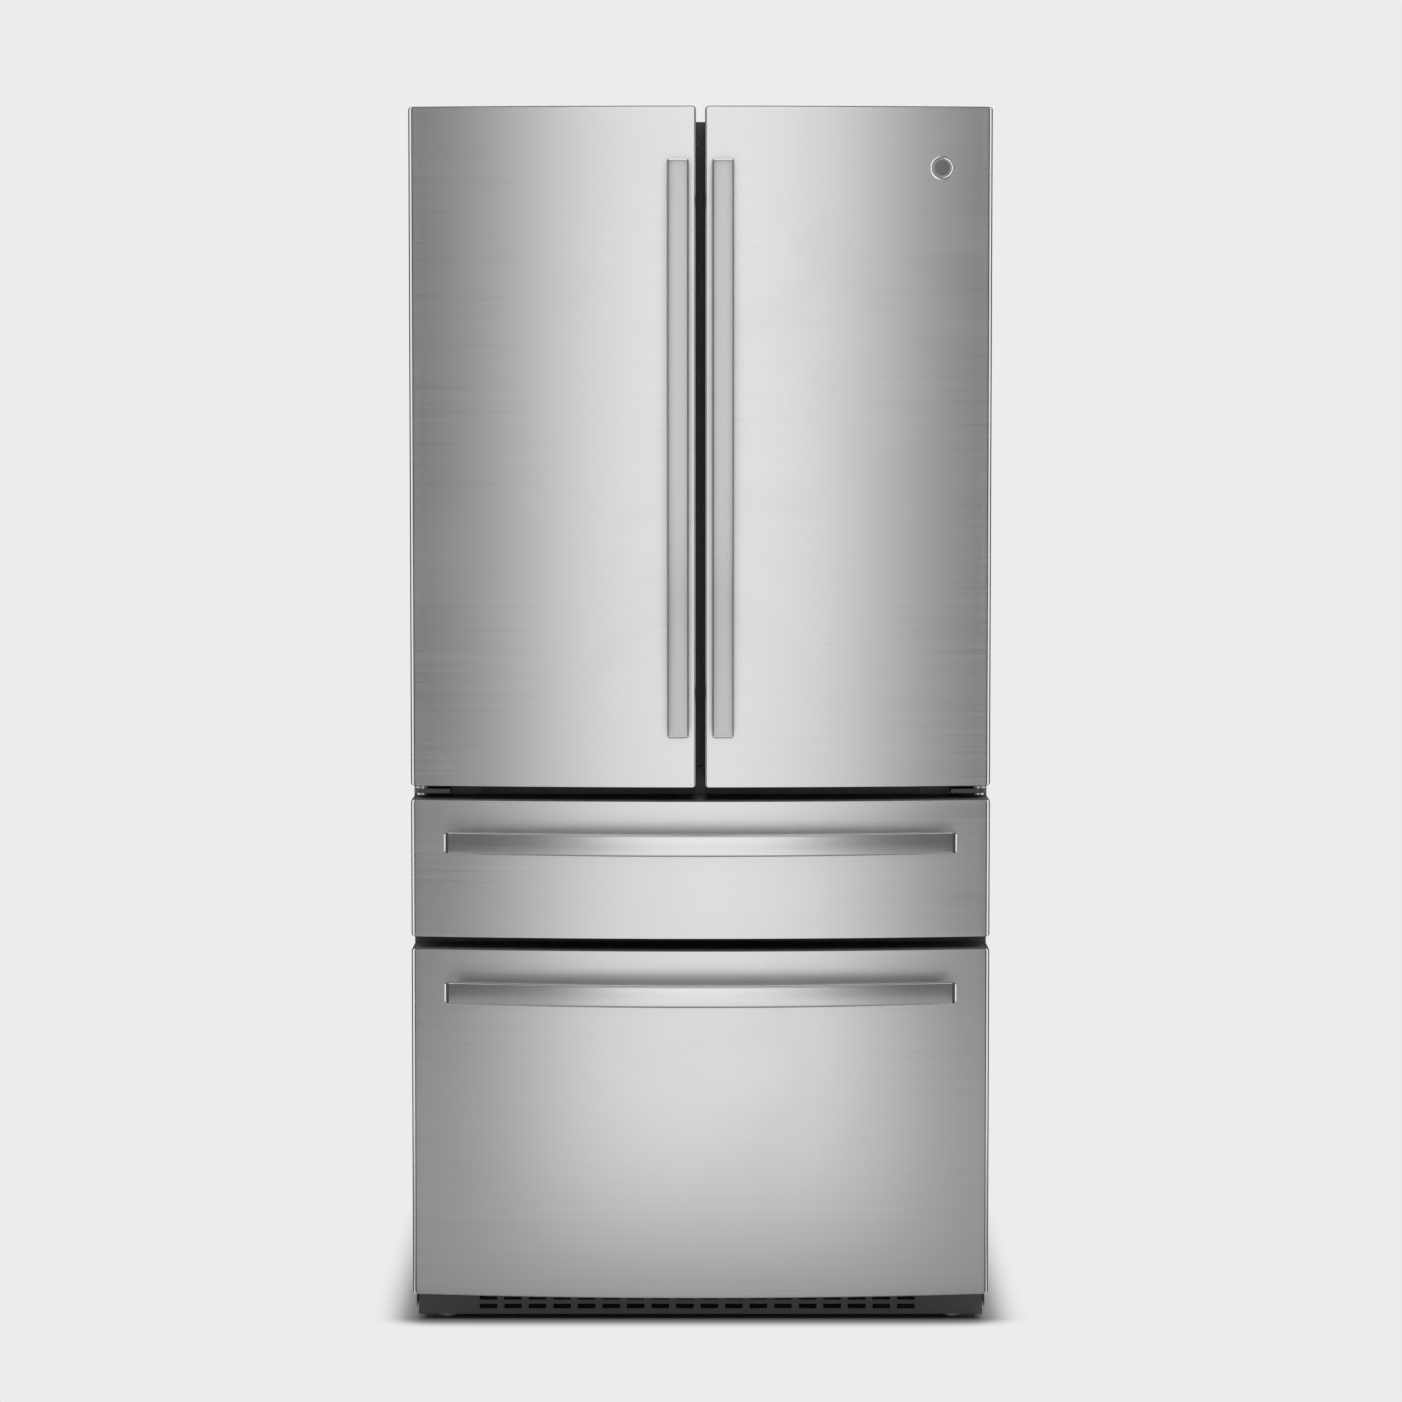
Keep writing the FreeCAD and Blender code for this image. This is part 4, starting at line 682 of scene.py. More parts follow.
FROSTED_PLASTIC = Clear("frosted bin plastic", "clear_plastic", (0.95, 0.96, 0.97), 0.34)
SHELF_GLASS = Clear("toughened shelf glass", "shelf_glass", (0.93, 0.975, 0.955), 0.02, ior=1.5, haze=0.04)


def dress(made: bpy.types.Object, finish: Finish, body: str, *stands_for: str) -> bpy.types.Object:
    """Gives a new piece its finish, its body, and the CAD nodes it stands for."""
    made.data.materials.clear()
    made.data.materials.append(finish.material())
    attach(made, body)
    if stands_for:
        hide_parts(*stands_for)
    LOG.info("piece %s rides on %s in %s, %d faces", made.name, body, finish.name, len(made.data.polygons))
    return made


# ------------------------------------------------------------------ fronts
@dataclass
class Bow:
    """The bowed front: an arc about an upright axis on the middle plane."""

    half: float = 416.0
    radius: float = 2998.2
    centre_y: float = 2604.2
    back_y: float = -303.0
    corner: float = 7.0
    free_corner: float = 3.0
    split_y: float = -356.0
    split: float = 0.1

    def y(self, x: Array | float, inset: float = 0.0) -> Array:
        """Place of the arc at x: centre less the root of (radius - inset)^2 - x^2."""
        return self.centre_y - np.sqrt((self.radius - inset) ** 2 - np.square(x))

    def section(self, x0: float, x1: float, inset: float, across: int = 72) -> Array:
        """Open section of a front, from the back of its left side round to the back of its right.

        Two straight sides, a quarter turn at each front corner, and the arc between them; the
        whole is drawn in by the inset.  Two points near each other at split_y part each side, so
        that the length behind them can stop at the hinge pocket.
        """
        left, right = x0 + inset, x1 - inset
        radii = [self.corner if abs(x) > self.half / 2 else self.free_corner for x in (x0, x1)]
        p, q = (max(r - inset, 1.0) for r in radii)
        turn = np.linspace(0.0, 1.0, 25)
        lean = [math.atan2(x, math.sqrt((self.radius - inset) ** 2 - x**2)) for x in (left + p, right - q)]
        left_y, right_y = (float(self.y(x, inset)) for x in (left + p, right - q))
        a = math.pi + turn * (math.pi / 2 + lean[0])
        b = 1.5 * math.pi + lean[1] + turn * (math.pi / 2 - lean[1])
        centres = ((left + p, left_y + p * math.cos(lean[0])), (right - q, right_y + q * math.cos(lean[1])))
        first = np.stack([centres[0][0] + p * np.cos(a), centres[0][1] + p * np.sin(a)], 1)
        last = np.stack([centres[1][0] + q * np.cos(b), centres[1][1] + q * np.sin(b)], 1)
        x = np.linspace(first[-1, 0], last[0, 0], across)[1:-1]
        arc = np.stack([x, self.y(x, inset)], 1)
        behind, ahead = self.split_y + self.split, self.split_y - self.split
        down = np.array([[left, self.back_y], [left, behind], [left, ahead]])
        up = np.array([[right, ahead], [right, behind], [right, self.back_y]])
        return np.concatenate([down, first, arc, last, up])


@dataclass
class Front:
    """Steel skin and end caps of one door or drawer front."""

    x0: float
    x1: float
    z0: float
    z1: float
    bow: Bow = field(default_factory=Bow)
    skin: float = 1.0
    cap_height: float = 18.0
    corner: float = 4.5
    rim: float = 1.5
    pocket_z: float = 1747.0
    pocket_y: float = -356.0
    pocket_wall: float = 373.0
    pocket_side: int = 0
    pocket_skin: float = 413.0
    pocket_depth: float = 30.0
    side_from: float = 0.84
    rim_from: float = 0.5
    line_from: float = 0.14
    # Bounds of the painted highlight on the outer corners, as the side share of the face normal.
    highlight_from: float = 0.33
    highlight_to: float = 0.7

    def steel(self) -> tuple[Array, list]:
        """The skin: its section carried up from bottom to top, with both ends rounded off.

        Over the first and last few millimetres each side moves in by r - sqrt(r^2 - (r - t)^2),
        t being the distance from the end, and over the last of them the section is also drawn in
        by a small quarter circle.  Behind the hinge pocket the side stops at the pocket's floor.
        """
        t = self.corner * (1 - np.cos(np.linspace(0.0, math.pi / 2, 8)))
        t[1] = max(t[1], 0.1)
        shift = self.corner - np.sqrt(self.corner**2 - (self.corner - t) ** 2)
        rim = self.rim - np.sqrt(self.rim**2 - (self.rim - np.minimum(t, self.rim)) ** 2)
        steps = [(s, d, h, True) for s, d, h in zip(shift, rim, t)]
        steps += [(s, d, -h, False) for s, d, h in zip(shift, rim, t)][::-1]
        outer, inner = [], []
        whole = [self.bow.section(self.x0, self.x1, inset) for inset in (0.0, self.skin)]
        for aside, drawn, rise, low in steps:
            rows = []
            for inset, straight in zip((drawn, max(self.skin, drawn + 0.2)), whole):
                plan = self.bow.section(self.x0 + aside, self.x1 - aside, float(inset))
                z = np.full(len(plan), (self.z0 if low else self.z1) + rise)
                if self.pocket_side and not low:
                    side = whole[0][:, 0] * self.pocket_side > self.pocket_skin
                    side &= whole[0][:, 1] > self.pocket_y
                    z[side] = self.pocket_z + rise * 0.05
                    plan[side] = straight[side]
                rows.append(np.concatenate([plan, z[:, None]], 1))
            outer.append(rows[0])
            inner.append(rows[1])
        return shell_surface(np.array(outer), np.array(inner))

    def hem(self, skin: bpy.types.Object) -> None:
        """Gives side faces and rims a dark enamel, and the outer corners a bright steel: a painted highlight
        on the roll.

        Faces are picked by their normals.  The dark rims, and the thin dark line between the arc
        and the roll, are this enamel too: a painted dark reflection of what rolled steel mirrors there.
        The dark side faces are partly the sides' own paint and partly painted shade.
        """
        skin.data.materials.append(SIDE_ENAMEL_PAINTED_SHADE_AND_REFLECTION.material())
        skin.data.materials.append(EDGE_STEEL_PAINTED_HIGHLIGHT.material())
        turn, _, rise = np.abs(face_values(skin, "normal")).T
        outer = np.abs(face_values(skin, "center")[:, 0]) > (self.bow.half - self.bow.corner) * MM
        dark = (turn > np.where(outer, self.highlight_to, self.side_from)) | (rise > self.rim_from)
        dark |= outer & (turn > self.line_from) & (turn < self.highlight_from)
        # Index 1: dark enamel, painted dark reflection and shade; index 2: bright steel, a painted highlight
        # on the roll.
        turned = np.where(dark, 1, np.where(outer & (turn > self.highlight_from), 2, 0)).astype(np.int32)
        skin.data.polygons.foreach_set("material_index", turned)

    def caps(self) -> list[tuple[Array, list]]:
        """The bottom and the top cap."""
        return [self.cap(self.z0, self.z0 + self.cap_height), self.cap(self.z1 - self.cap_height, self.z1)]

    def cap(self, z0: float, z1: float) -> tuple[Array, list]:
        """An end cap: the drawn-in section closed across its back, with softened rims.

        Its ends follow the rounded ends of the skin; a door's top cap stops at the hinge pocket.
        """
        rows = []
        heights = np.linspace(z0, z1, 10)
        heights = np.sort(np.concatenate([heights, [z0 + 0.4, z1 - 0.4, z0 + 1.2, z1 - 1.2]]))
        for z in heights:
            t = min(z - self.z0, self.z1 - z, self.corner)
            aside = self.corner - math.sqrt(self.corner**2 - (self.corner - t) ** 2)
            more = 0.5 if z in (z0, z1) else 0.05
            plan = self.bow.section(self.x0 + aside, self.x1 - aside, self.skin + more)
            if self.pocket_side and z > self.z1 - self.pocket_depth:
                plan = self.notched(plan)
            rows.append(np.concatenate([plan, np.full((len(plan), 1), z)], 1))
        return tube_surface(np.array(rows))

    def notched(self, plan: Array) -> Array:
        """The section less the hinge pocket: points behind and beyond it move to its two walls."""
        wall = self.pocket_side * self.pocket_wall
        inside = (plan[:, 0] * self.pocket_side > self.pocket_wall) & (plan[:, 1] > self.pocket_y - 0.5)
        moved = plan.copy()
        places = np.flatnonzero(inside)
        order = places if self.pocket_side > 0 else places[::-1]
        moved[order, 1] = self.pocket_y - 0.5
        moved[order[1:], 0] = wall
        moved[order[2:], 1] = self.bow.back_y
        return moved

    def boss(self) -> tuple[Array, list]:
        """The block under the hinge pocket that takes the upper hinge pin."""
        x0, x1 = sorted((self.pocket_side * 369.0, self.pocket_side * 414.8))
        return rounded_block((x0, -352.0, 1732.0), (x1, -303.2, self.pocket_z), 2.0, 0.5)


@dataclass
class Doors:
    """Both upper doors: skins, handles and the badge."""

    gap: float = 13.0
    z0: float = 796.5
    z1: float = 1766.5
    handle_from_edge: float = 25.5
    handle_length: float = 822.0
    handle_bow: float = 22.0

    def build(self) -> None:
        """Builds and dresses the skins and handles of both doors."""
        for side, word in ((-1, "left"), (1, "right")):
            x0, x1 = sorted((side * self.gap / 2, side * Bow.half))
            front = Front(x0, x1, self.z0, self.z1, pocket_side=side)
            skin = make_mesh(f"{word}_door_steel", *front.steel())
            dress(skin, STEEL, f"{word}_door", f"{word}_door_skin")
            front.hem(skin)
            caps = make_mesh(f"{word}_door_end_caps", *joined(front.caps() + [front.boss()]))
            dress(caps, DARK_PLASTIC, f"{word}_door", f"{word}_door_caps")
            bar = Handle(self.handle_length, self.handle_bow, upright=True, edge=2.4,
                         x=side * (self.gap / 2 + self.handle_from_edge), z=(self.z0 + self.z1) / 2)
            bar.build(f"{word}_door", f"{word}_door_handle", STEEL_UPRIGHT_PAINTED_SHADE)
        Badge().build()


@dataclass
class Drawers:
    """Both drawer fronts with their handles."""

    fronts: tuple[tuple[str, float, float], ...] = (
        ("middle_drawer", 578.5, 777.5), ("freezer_drawer", 58.0, 562.0))
    handle_length: float = 736.0
    handle_bow: float = 42.0
    handle_below_top: float = 57.0

    def build(self) -> None:
        """Builds and dresses both fronts."""
        for word, z0, z1 in self.fronts:
            front = Front(-Bow.half, Bow.half, z0, z1)
            skin = make_mesh(f"{word}_steel", *front.steel())
            dress(skin, STEEL, word, f"{word}_front")
            front.hem(skin)
            caps = make_mesh(f"{word}_end_caps", *joined(front.caps()))
            dress(caps, DARK_PLASTIC, word, f"{word}_front")
            bar = Handle(self.handle_length, self.handle_bow, upright=False, x=0.0,
                         z=z1 - self.handle_below_top, end_radius=9.0, painted_shadow_seam=(4.2, 8.0))
            bar.build(word, f"{word}_handle", STEEL_LEVEL)


@dataclass
class Handle:
    """A bowed bar of rounded rectangular section on two round posts."""

    length: float
    bow: float
    upright: bool
    x: float
    z: float
    front_y: float = -460.0
    width: float = 31.0
    thickness: float = 16.0
    edge: float = 3.5
    end_radius: float = 6.0
    post_inset: float = 57.0
    crown: float = 1.0
    # Span in from each end of a dark band that is a painted shadow of the end-cap gap.
    painted_shadow_seam: tuple[float, float] = (0.0, 0.0)
    post_radius: float = 8.0
    end_from: float = 0.3
    corner_from: float = 0.42
    face_from: float = 0.6

    def radius(self) -> float:
        """Radius of the bar's front: (half length squared + bow squared) / (2 bow)."""
        return ((self.length / 2) ** 2 + self.bow**2) / (2 * self.bow)

    def bar(self) -> tuple[Array, list]:
        """The bar: a rounded rectangle carried along an arc, shrunk over both ends.

        Within the end radius the section shrinks on every side by the end radius less the height
        of a quarter circle, so the ends are rounded both across and through the bar.  The front
        face is crowned: it falls back by the crown times the square of its share of the width.
        """
        r = self.radius()
        reach = math.asin(self.length / 2 / r)
        along, drawn = eased(-reach * r, reach * r, 64, self.end_radius)
        flat = np.stack([
            rounded_outline(self.width - 2 * d, self.thickness - 2 * d, max(self.edge - d, 0.7), 7)
            for d in drawn * 0.97
        ])
        front = np.clip(-2 * flat[:, :, 1] / self.thickness, 0.0, 1.0)
        fall = self.crown * front * (2 * flat[:, :, 0] / self.width) ** 2
        depth = flat[:, :, 1] + self.thickness / 2 + fall
        angle = (along / r)[:, None]
        run = (r - depth) * np.sin(angle)
        back = r - (r - depth) * np.cos(angle)
        side = flat[:, :, 0]
        x, z = (side, run) if self.upright else (run, side)
        return tube_surface(np.stack([self.x + x, self.front_y + back, self.z + z], 2))

    def post(self, offset: float) -> tuple[Array, list]:
        """A round post with a small flare where it meets the front: a turned profile."""
        x, z = (self.x, self.z + offset) if self.upright else (self.x + offset, self.z)
        r = self.radius()
        start = self.front_y + (r - math.sqrt(r**2 - offset**2)) + self.thickness - 2.0
        end = float(Bow().y(x)) + 1.0
        length = end - start
        p = self.post_radius
        profile = np.array([
            (0, 0), (p, 0), (p, length - 3.2), (p + 0.3, length - 2.4), (p + 1.2, length - 1.5),
            (p + 1.4, length - 0.9), (p + 1.4, length), (0, length)], float)
        return lathe_surface(profile, np.array([x, start, z]), np.array([0.0, 1.0, 0.0]))

    def build(self, body: str, node: str, finish: Finish) -> None:
        """Builds the bar and its posts and dresses them.

        The ends are a brighter polished steel, partly a painted highlight; their side corners are
        dark enamel, a painted dark reflection of what the steel mirrors there, and a dark band near
        each end, where one is asked for, is a painted shadow of the gap at the end cap.

        Args:
            body: the body it rides on.
            node: the CAD node it stands for.
            finish: the steel of the bar and the posts.
        """
        reach = self.length / 2 - self.post_inset
        bar = make_mesh(f"{node}_bar", *self.bar())
        dress(bar, finish, body, node)
        bar.data.materials.append(POLISHED_STEEL_PAINTED_HIGHLIGHT.material())
        bar.data.materials.append(SIDE_ENAMEL_PAINTED_SHADE_AND_REFLECTION.material())
        normals, middles = face_values(bar, "normal"), face_values(bar, "center")
        axis, centre = (2, self.z) if self.upright else (0, self.x)
        # End faces take the brighter polished steel, partly a painted highlight.
        end = np.abs(normals[:, axis]) > self.end_from
        inwards = self.length / 2 - np.abs(middles[:, axis] / MM - centre)
        # Dark band near each end: painted shadow; dark side corners of the ends: painted dark reflection.
        painted_shadow_seam = (inwards > self.painted_shadow_seam[0]) & (inwards < self.painted_shadow_seam[1]) & (normals[:, 1] < -self.face_from)
        dark = (end & (np.abs(normals[:, 2 - axis]) > self.corner_from)) | painted_shadow_seam
        bar.data.polygons.foreach_set("material_index", np.where(dark, 2, end).astype(np.int32))
        posts = make_mesh(f"{node}_posts", *joined([self.post(-reach), self.post(reach)]))
        dress(posts, finish, body, node)


@dataclass
class Badge:
    """Blank round badge: a bright ring about a shallow dark dish."""

    x: float = 343.0
    z: float = 1679.5
    radius: float = 17.0
    thickness: float = 2.5

    def build(self) -> None:
        """Turns the ring and the dish about the outward line of the bowed front."""
        y = float(Bow().y(self.x))
        outward = np.array([self.x, y - Bow.centre_y, 0.0])
        outward /= np.linalg.norm(outward)
        base = np.array([self.x, y, self.z]) - outward * 0.6
        r, t = self.radius, self.thickness + 0.6
        ring = np.array([(0, 0), (r - 0.4, 0), (r, 0.5), (r, t - 0.8), (r - 0.25, t - 0.25), (r - 0.8, t),
                         (r - 2.6, t), (r - 3.1, t - 0.2), (r - 3.4, t - 0.9), (0, t - 0.9)], float)
        made = make_mesh("badge_ring", *lathe_surface(ring, base, outward, 72))
        # The ring's steel is polished, and partly a painted highlight.
        dress(made, POLISHED_STEEL_PAINTED_HIGHLIGHT, "right_door", "badge")
        turn = np.linspace(0.0, 1.0, 10)
        inner = r - 3.5
        dish = np.stack([inner * (1 - turn), t - 1.2 + 0.9 * (1 - (1 - turn) ** 2)], 1)
        dish = np.concatenate([[(0, t - 1.3), (inner, t - 1.3)], dish])
        made = make_mesh("badge_face", *lathe_surface(dish, base, outward, 72))
        dress(made, BADGE_ENAMEL, "right_door", "badge")


# ------------------------------------------------------------------ seals
@dataclass
class Seal:
    """Magnetic seal round the back of a front: a ribbed bellows with a flat magnet face."""

    name: str
    body: str
    x0: float
    x1: float
    z0: float
    z1: float
    width: float = 16.0
    width_low: float = 12.0
    back_y: float = -300.0
    depth: float = 13.7
    ribs: int = 3
    swell: float = 1.1

    def profile(self) -> Array:
        """Closed outline as (share of the width inwards, y).

        Both flanks swell outwards by the size of a sine over the depth, one hump to a rib; the
        magnet face between them is flat.
        """
        t = np.linspace(0.0, 1.0, self.ribs * 8 + 1)
        hump = np.abs(np.sin(t * math.pi * self.ribs)) * self.swell / self.width + 0.012
        y = self.back_y + 0.1 + t * (self.depth - 0.1)
        outer = np.stack([-hump, y], 1)
        inner = np.stack([1.0 + hump, y], 1)[::-1]
        return np.concatenate([outer, inner])

    def surface(self) -> tuple[Array, list]:
        """The outline carried round the rectangle with mitred corners."""
        share, y = self.profile().T
        aside, up = share * self.width, share * self.width_low
        corners = [
            (self.x0 + aside, self.z0 + up), (self.x1 - aside, self.z0 + up),
            (self.x1 - aside, self.z1 - up), (self.x0 + aside, self.z1 - up),
        ]
        return ring_surface(np.array([np.stack([x, y, z], 1) for x, z in corners]))

    def build(self, *stands_for: str) -> None:
        """Builds and dresses the seal."""
        dress(make_mesh(self.name, *self.surface(), crease=50.0), SEAL, self.body, *stands_for)


@dataclass
class Seals:
    """Seals of both doors and both drawers, and the lip that closes the gap at the mullion."""

    door_z: tuple[float, float] = (801.5, 1739.0)
    lip_size: tuple[float, float] = (5.2, 2.6)
    lip_place: tuple[float, float] = (4.25, -289.0)
    lip_from_end: float = 14.0

    def build(self) -> None:
        """Builds the four seals and the lip."""
        low, high = self.door_z
        Seal("left_door_seal", "left_door", -400.0, -13.0, low, high).build("left_door_gasket")
        Seal("right_door_seal", "right_door", 6.5, 400.0, low, high).build("right_door_gasket")
        Seal("middle_drawer_seal", "middle_drawer", -400.0, 400.0, 583.5, 772.5).build()
        Seal("freezer_drawer_seal", "freezer_drawer", -400.0, 400.0, 63.0, 557.0).build()
        along = np.linspace(low + self.lip_from_end, high - self.lip_from_end, 12)
        outline = rounded_outline(*self.lip_size, 1.2, 5)
        lip = stacked(np.broadcast_to(outline, (len(along), *outline.shape)), along, self.lip_place)
        dress(make_mesh("mullion_side_lip", *lip), SEAL, "right_door")


# ------------------------------------------------------------------ bins, crispers, basket
@dataclass
class Tray:
    """An open moulded tray: rounded foot, slightly leaning walls, and a rolled rim."""

    low: Triple
    high: Triple
    wall: float = 2.6
    corner: float = 12.0
    foot: float = 6.0
    lean: float = 2.5
    rim: float = 2.2

    def surface(self) -> tuple[Array, list]:
        """One closed skin: up the outside, over the rim and down the inside.

        Each row is a rounded rectangle drawn in by its own inset at its own height: a quarter
        circle at the foot, a straight lean up the wall, a half circle over the rim, and the same
        wall again one thickness further in.
        """
        x0, y0, z0 = self.low
        x1, y1, z1 = self.high
        turn = np.linspace(0.0, math.pi / 2, 6)
        foot_in = self.lean + self.foot * (1 - np.sin(turn))
        foot_z = z0 + self.foot * (1 - np.cos(turn))
        climb = np.linspace(0.0, 1.0, 5)[1:]
        wall_in = self.lean * (1 - climb) + self.rim * 0.55
        wall_z = z0 + self.foot + (z1 - 9.0 - z0 - self.foot) * climb
        bead = np.linspace(math.pi, 0.0, 9)
        bead_r = (self.wall + self.rim) / 2
        bead_in = bead_r + bead_r * np.cos(bead)
        bead_z = z1 - bead_r + bead_r * np.sin(bead)
        lip_in = np.array([0.0])
        lip_z = np.array([z1 - 7.5])
        inner_in = self.wall + self.lean * (1 - climb[::-1]) + self.rim
        inner_z = wall_z[::-1]
        floor_in = self.wall + self.lean + self.rim + self.foot * (1 - np.cos(turn)) * 0.9
        floor_z = z0 + self.wall + self.foot * (1 - np.sin(turn)) * 0.9
        inset = np.concatenate([foot_in + self.rim * 0.55, wall_in, lip_in, bead_in, inner_in, floor_in])
        rise = np.concatenate([foot_z, wall_z, lip_z, bead_z, inner_z, floor_z])
        rows = [
            rounded_outline(x1 - x0 - 2 * d, y1 - y0 - 2 * d, max(self.corner - d, 1.5), 7) for d in inset
        ]
        return stacked(np.stack(rows), rise, ((x0 + x1) / 2, (y0 + y1) / 2))


@dataclass
class Storage:
    """Door bins, crispers, drawer bins and the freezer basket."""

    bin_x: tuple[float, float] = (71.0, 340.0)
    bin_y: tuple[float, float] = (-299.0, -187.0)
    bin_z: tuple[tuple[float, float], ...] = ((846.5, 996.5), (1144.5, 1274.5), (1424.5, 1544.5))
    crisper_x: tuple[float, float] = (3.0, 361.0)
    crisper_y: tuple[float, float] = (-114.0, 246.0)
    crisper_z: tuple[float, float] = (814.8, 979.8)

    def door_bins(self) -> None:
        """Three bins to a door, each with a front rail and a hook at either end."""
        for side, word in ((-1.0, "left"), (1.0, "right")):
            x0, x1 = sorted((side * self.bin_x[0], side * self.bin_x[1]))
            y0, y1 = self.bin_y
            pieces = []
            for z0, z1 in self.bin_z:
                pieces.append(Tray((x0, y0, z0), (x1, y1, z1), corner=16.0).surface())
                low, high = (x0 + 14, y1 - 2.4, z0 + 34), (x1 - 14, y1 - 0.2, z0 + 44)
                pieces.append(rounded_block(low, high, 1.0, 0.6))
                for a, b in ((x0 - 0.9, x0 + 2.0), (x1 - 2.0, x1 + 0.9)):
                    pieces.append(rounded_block((a, -275.0, z1 - 40), (b, -250.0, z1 - 20), 1.2, 0.6))
            dress(make_mesh(f"{word}_door_clear_bins", *joined(pieces)), CLEAR_PLASTIC, f"{word}_door",
                  f"{word}_door_bins")

    def crispers(self) -> None:
        """Two vegetable drawers with a grip along the front and a raised band."""
        for side, word in ((-1.0, "left"), (1.0, "right")):
            x0, x1 = sorted((side * self.crisper_x[0], side * self.crisper_x[1]))
            y0, y1 = self.crisper_y
            z0, z1 = self.crisper_z
            tray = Tray((x0, y0, z0), (x1, y1, z1), corner=14.0, lean=4.0)
            band = rounded_block((x0 + 40, y0 + 0.4, z0 + 40), (x1 - 40, y0 + 3.6, z0 + 96), 1.4, 1.2)
            dress(make_mesh(f"{word}_crisper_tray", *joined([tray.surface(), band])), CLEAR_PLASTIC,
                  f"{word}_crisper", f"crisper_{word}")
            grip = rounded_block((x0 + 57, y0 - 14, z1 - 31), (x1 - 56, y0 + 1.6, z1 - 22), 4.0, 3.0)
            dress(make_mesh(f"{word}_crisper_grip", *grip), GREY_PLASTIC,
                  f"{word}_crisper", f"crisper_{word}")

    def drawer_bins(self) -> None:
        """The bins of both drawers and the basket that runs over the lower one."""
        for name, body, node, low, high in (
                ("middle_drawer_tub", "middle_drawer", "middle_drawer_bin",
                 (-349, -280, 606.5), (349, 240, 728.5)),
                ("freezer_drawer_tub", "freezer_drawer", "freezer_drawer_bin",
                 (-349, -280, 118), (349, 157, 440)),
                ("freezer_basket_tub", "upper_basket", "freezer_basket",
                 (-348, -272, 440.3), (348, 128, 520.3))):
            tray = Tray(low, high, corner=14.0, wall=3.0, lean=2.0)
            near, far, foot, top = low[1] + 3.2, low[1] + 5.4, low[2] + 12, high[2] - 12
            ribs = [
                rounded_block((x - 1.5, near, foot), (x + 1.5, far, top), 0.9, 0.5)
                for x in np.linspace(low[0] + 60, high[0] - 60, 9)
            ]
            dress(make_mesh(name, *joined([tray.surface()] + ribs)), FROSTED_PLASTIC, body, node)

    def build(self) -> None:
        """Builds all of it."""
        self.door_bins()
        self.crispers()
        self.drawer_bins()


# ------------------------------------------------------------------ shelves and light
@dataclass
class Shelving:
    """Front trims of the glass shelves."""

    undersides: tuple[float, ...] = (1004.5, 1239.5, 1469.5)
    half: float = 364.0
    front_y: float = -158.0

    def build(self) -> None:
        """A rounded trim carried along the front of each shelf, its ends rounded too."""
        x, drawn = eased(-self.half, self.half, 24, 3.0)
        trims = []
        for z in self.undersides:
            flat = np.stack([
                rounded_outline(11.0 - 2 * d * 0.9, 17.0 - 2 * d * 0.9, 3.4 - 0.7 * d, 6) for d in drawn
            ])
            run = np.broadcast_to(x[:, None], flat.shape[:2])
            sections = np.stack([run, flat[:, :, 0] + self.front_y + 5.0, flat[:, :, 1] + z + 7.2], 2)
            trims.append(tube_surface(sections))
        dress(make_mesh("shelf_front_trims", *joined(trims)), TRIM, "cabinet")


# ------------------------------------------------------------------ hinges
@dataclass
class Hinges:
    """Covers over the top hinges, and washers on the pins of the centre hinges."""

    pin_x: float = 401.0
    pin_y: float = -332.0
    cover_low: Triple = (348.0, -284.0, 1749.0)
    cover_high: Triple = (414.0, -186.0, 1771.0)
    shoulder: float = 5.0

    def cover(self, side: float) -> tuple[Array, list]:
        """A low cover with a rounded plan and a crowned top.

        Rows of one rounded rectangle rise the wall, turn over a quarter circle at the shoulder,
        and close over a shallow crown.
        """
        x0, x1 = sorted((side * self.cover_low[0], side * self.cover_high[0]))
        y0, y1 = self.cover_low[1], self.cover_high[1]
        z0, z1 = self.cover_low[2], self.cover_high[2]
        turn = np.linspace(0.0, math.pi / 2, 7)
        inset = np.concatenate([[0.0], self.shoulder * (1 - np.cos(turn)), [9.0, 14.0, 20.0, 26.0]])
        top = z1 - 1.4
        turned = top - self.shoulder + self.shoulder * np.sin(turn)
        rise = np.concatenate([[z0 + 0.05], turned, top + np.array([0.5, 0.9, 1.2, 1.4])])
        rows = [rounded_outline(x1 - x0 - 2 * d, y1 - y0 - 2 * d, max(9.0 - d, 3.0), 8) for d in inset]
        return stacked(np.stack(rows), rise, ((x0 + x1) / 2, (y0 + y1) / 2))

    def build(self) -> None:
        """Builds covers, washers and the nuts under the centre hinge arms."""
        covers = joined([self.cover(side) for side in (-1.0, 1.0)])
        dress(make_mesh("hinge_cover_caps", *covers), DARK_PLASTIC, "cabinet", "hinge_covers")
        stack = []
        for side in (-1.0, 1.0):
            for z, r, t in ((790.1, 10.4, 2.0), (792.4, 9.3, 1.7), (794.3, 10.0, 1.7), (780.6, 8.0, 3.2)):
                ring = np.array([(0, 0), (r - 0.4, 0), (r, 0.35), (r, t - 0.35), (r - 0.4, t), (0, t)], float)
                stack.append(lathe_surface(ring, np.array([side * self.pin_x, self.pin_y, z]), UP, 40))
        dress(make_mesh("centre_hinge_washers", *joined(stack)), ZINC, "cabinet")


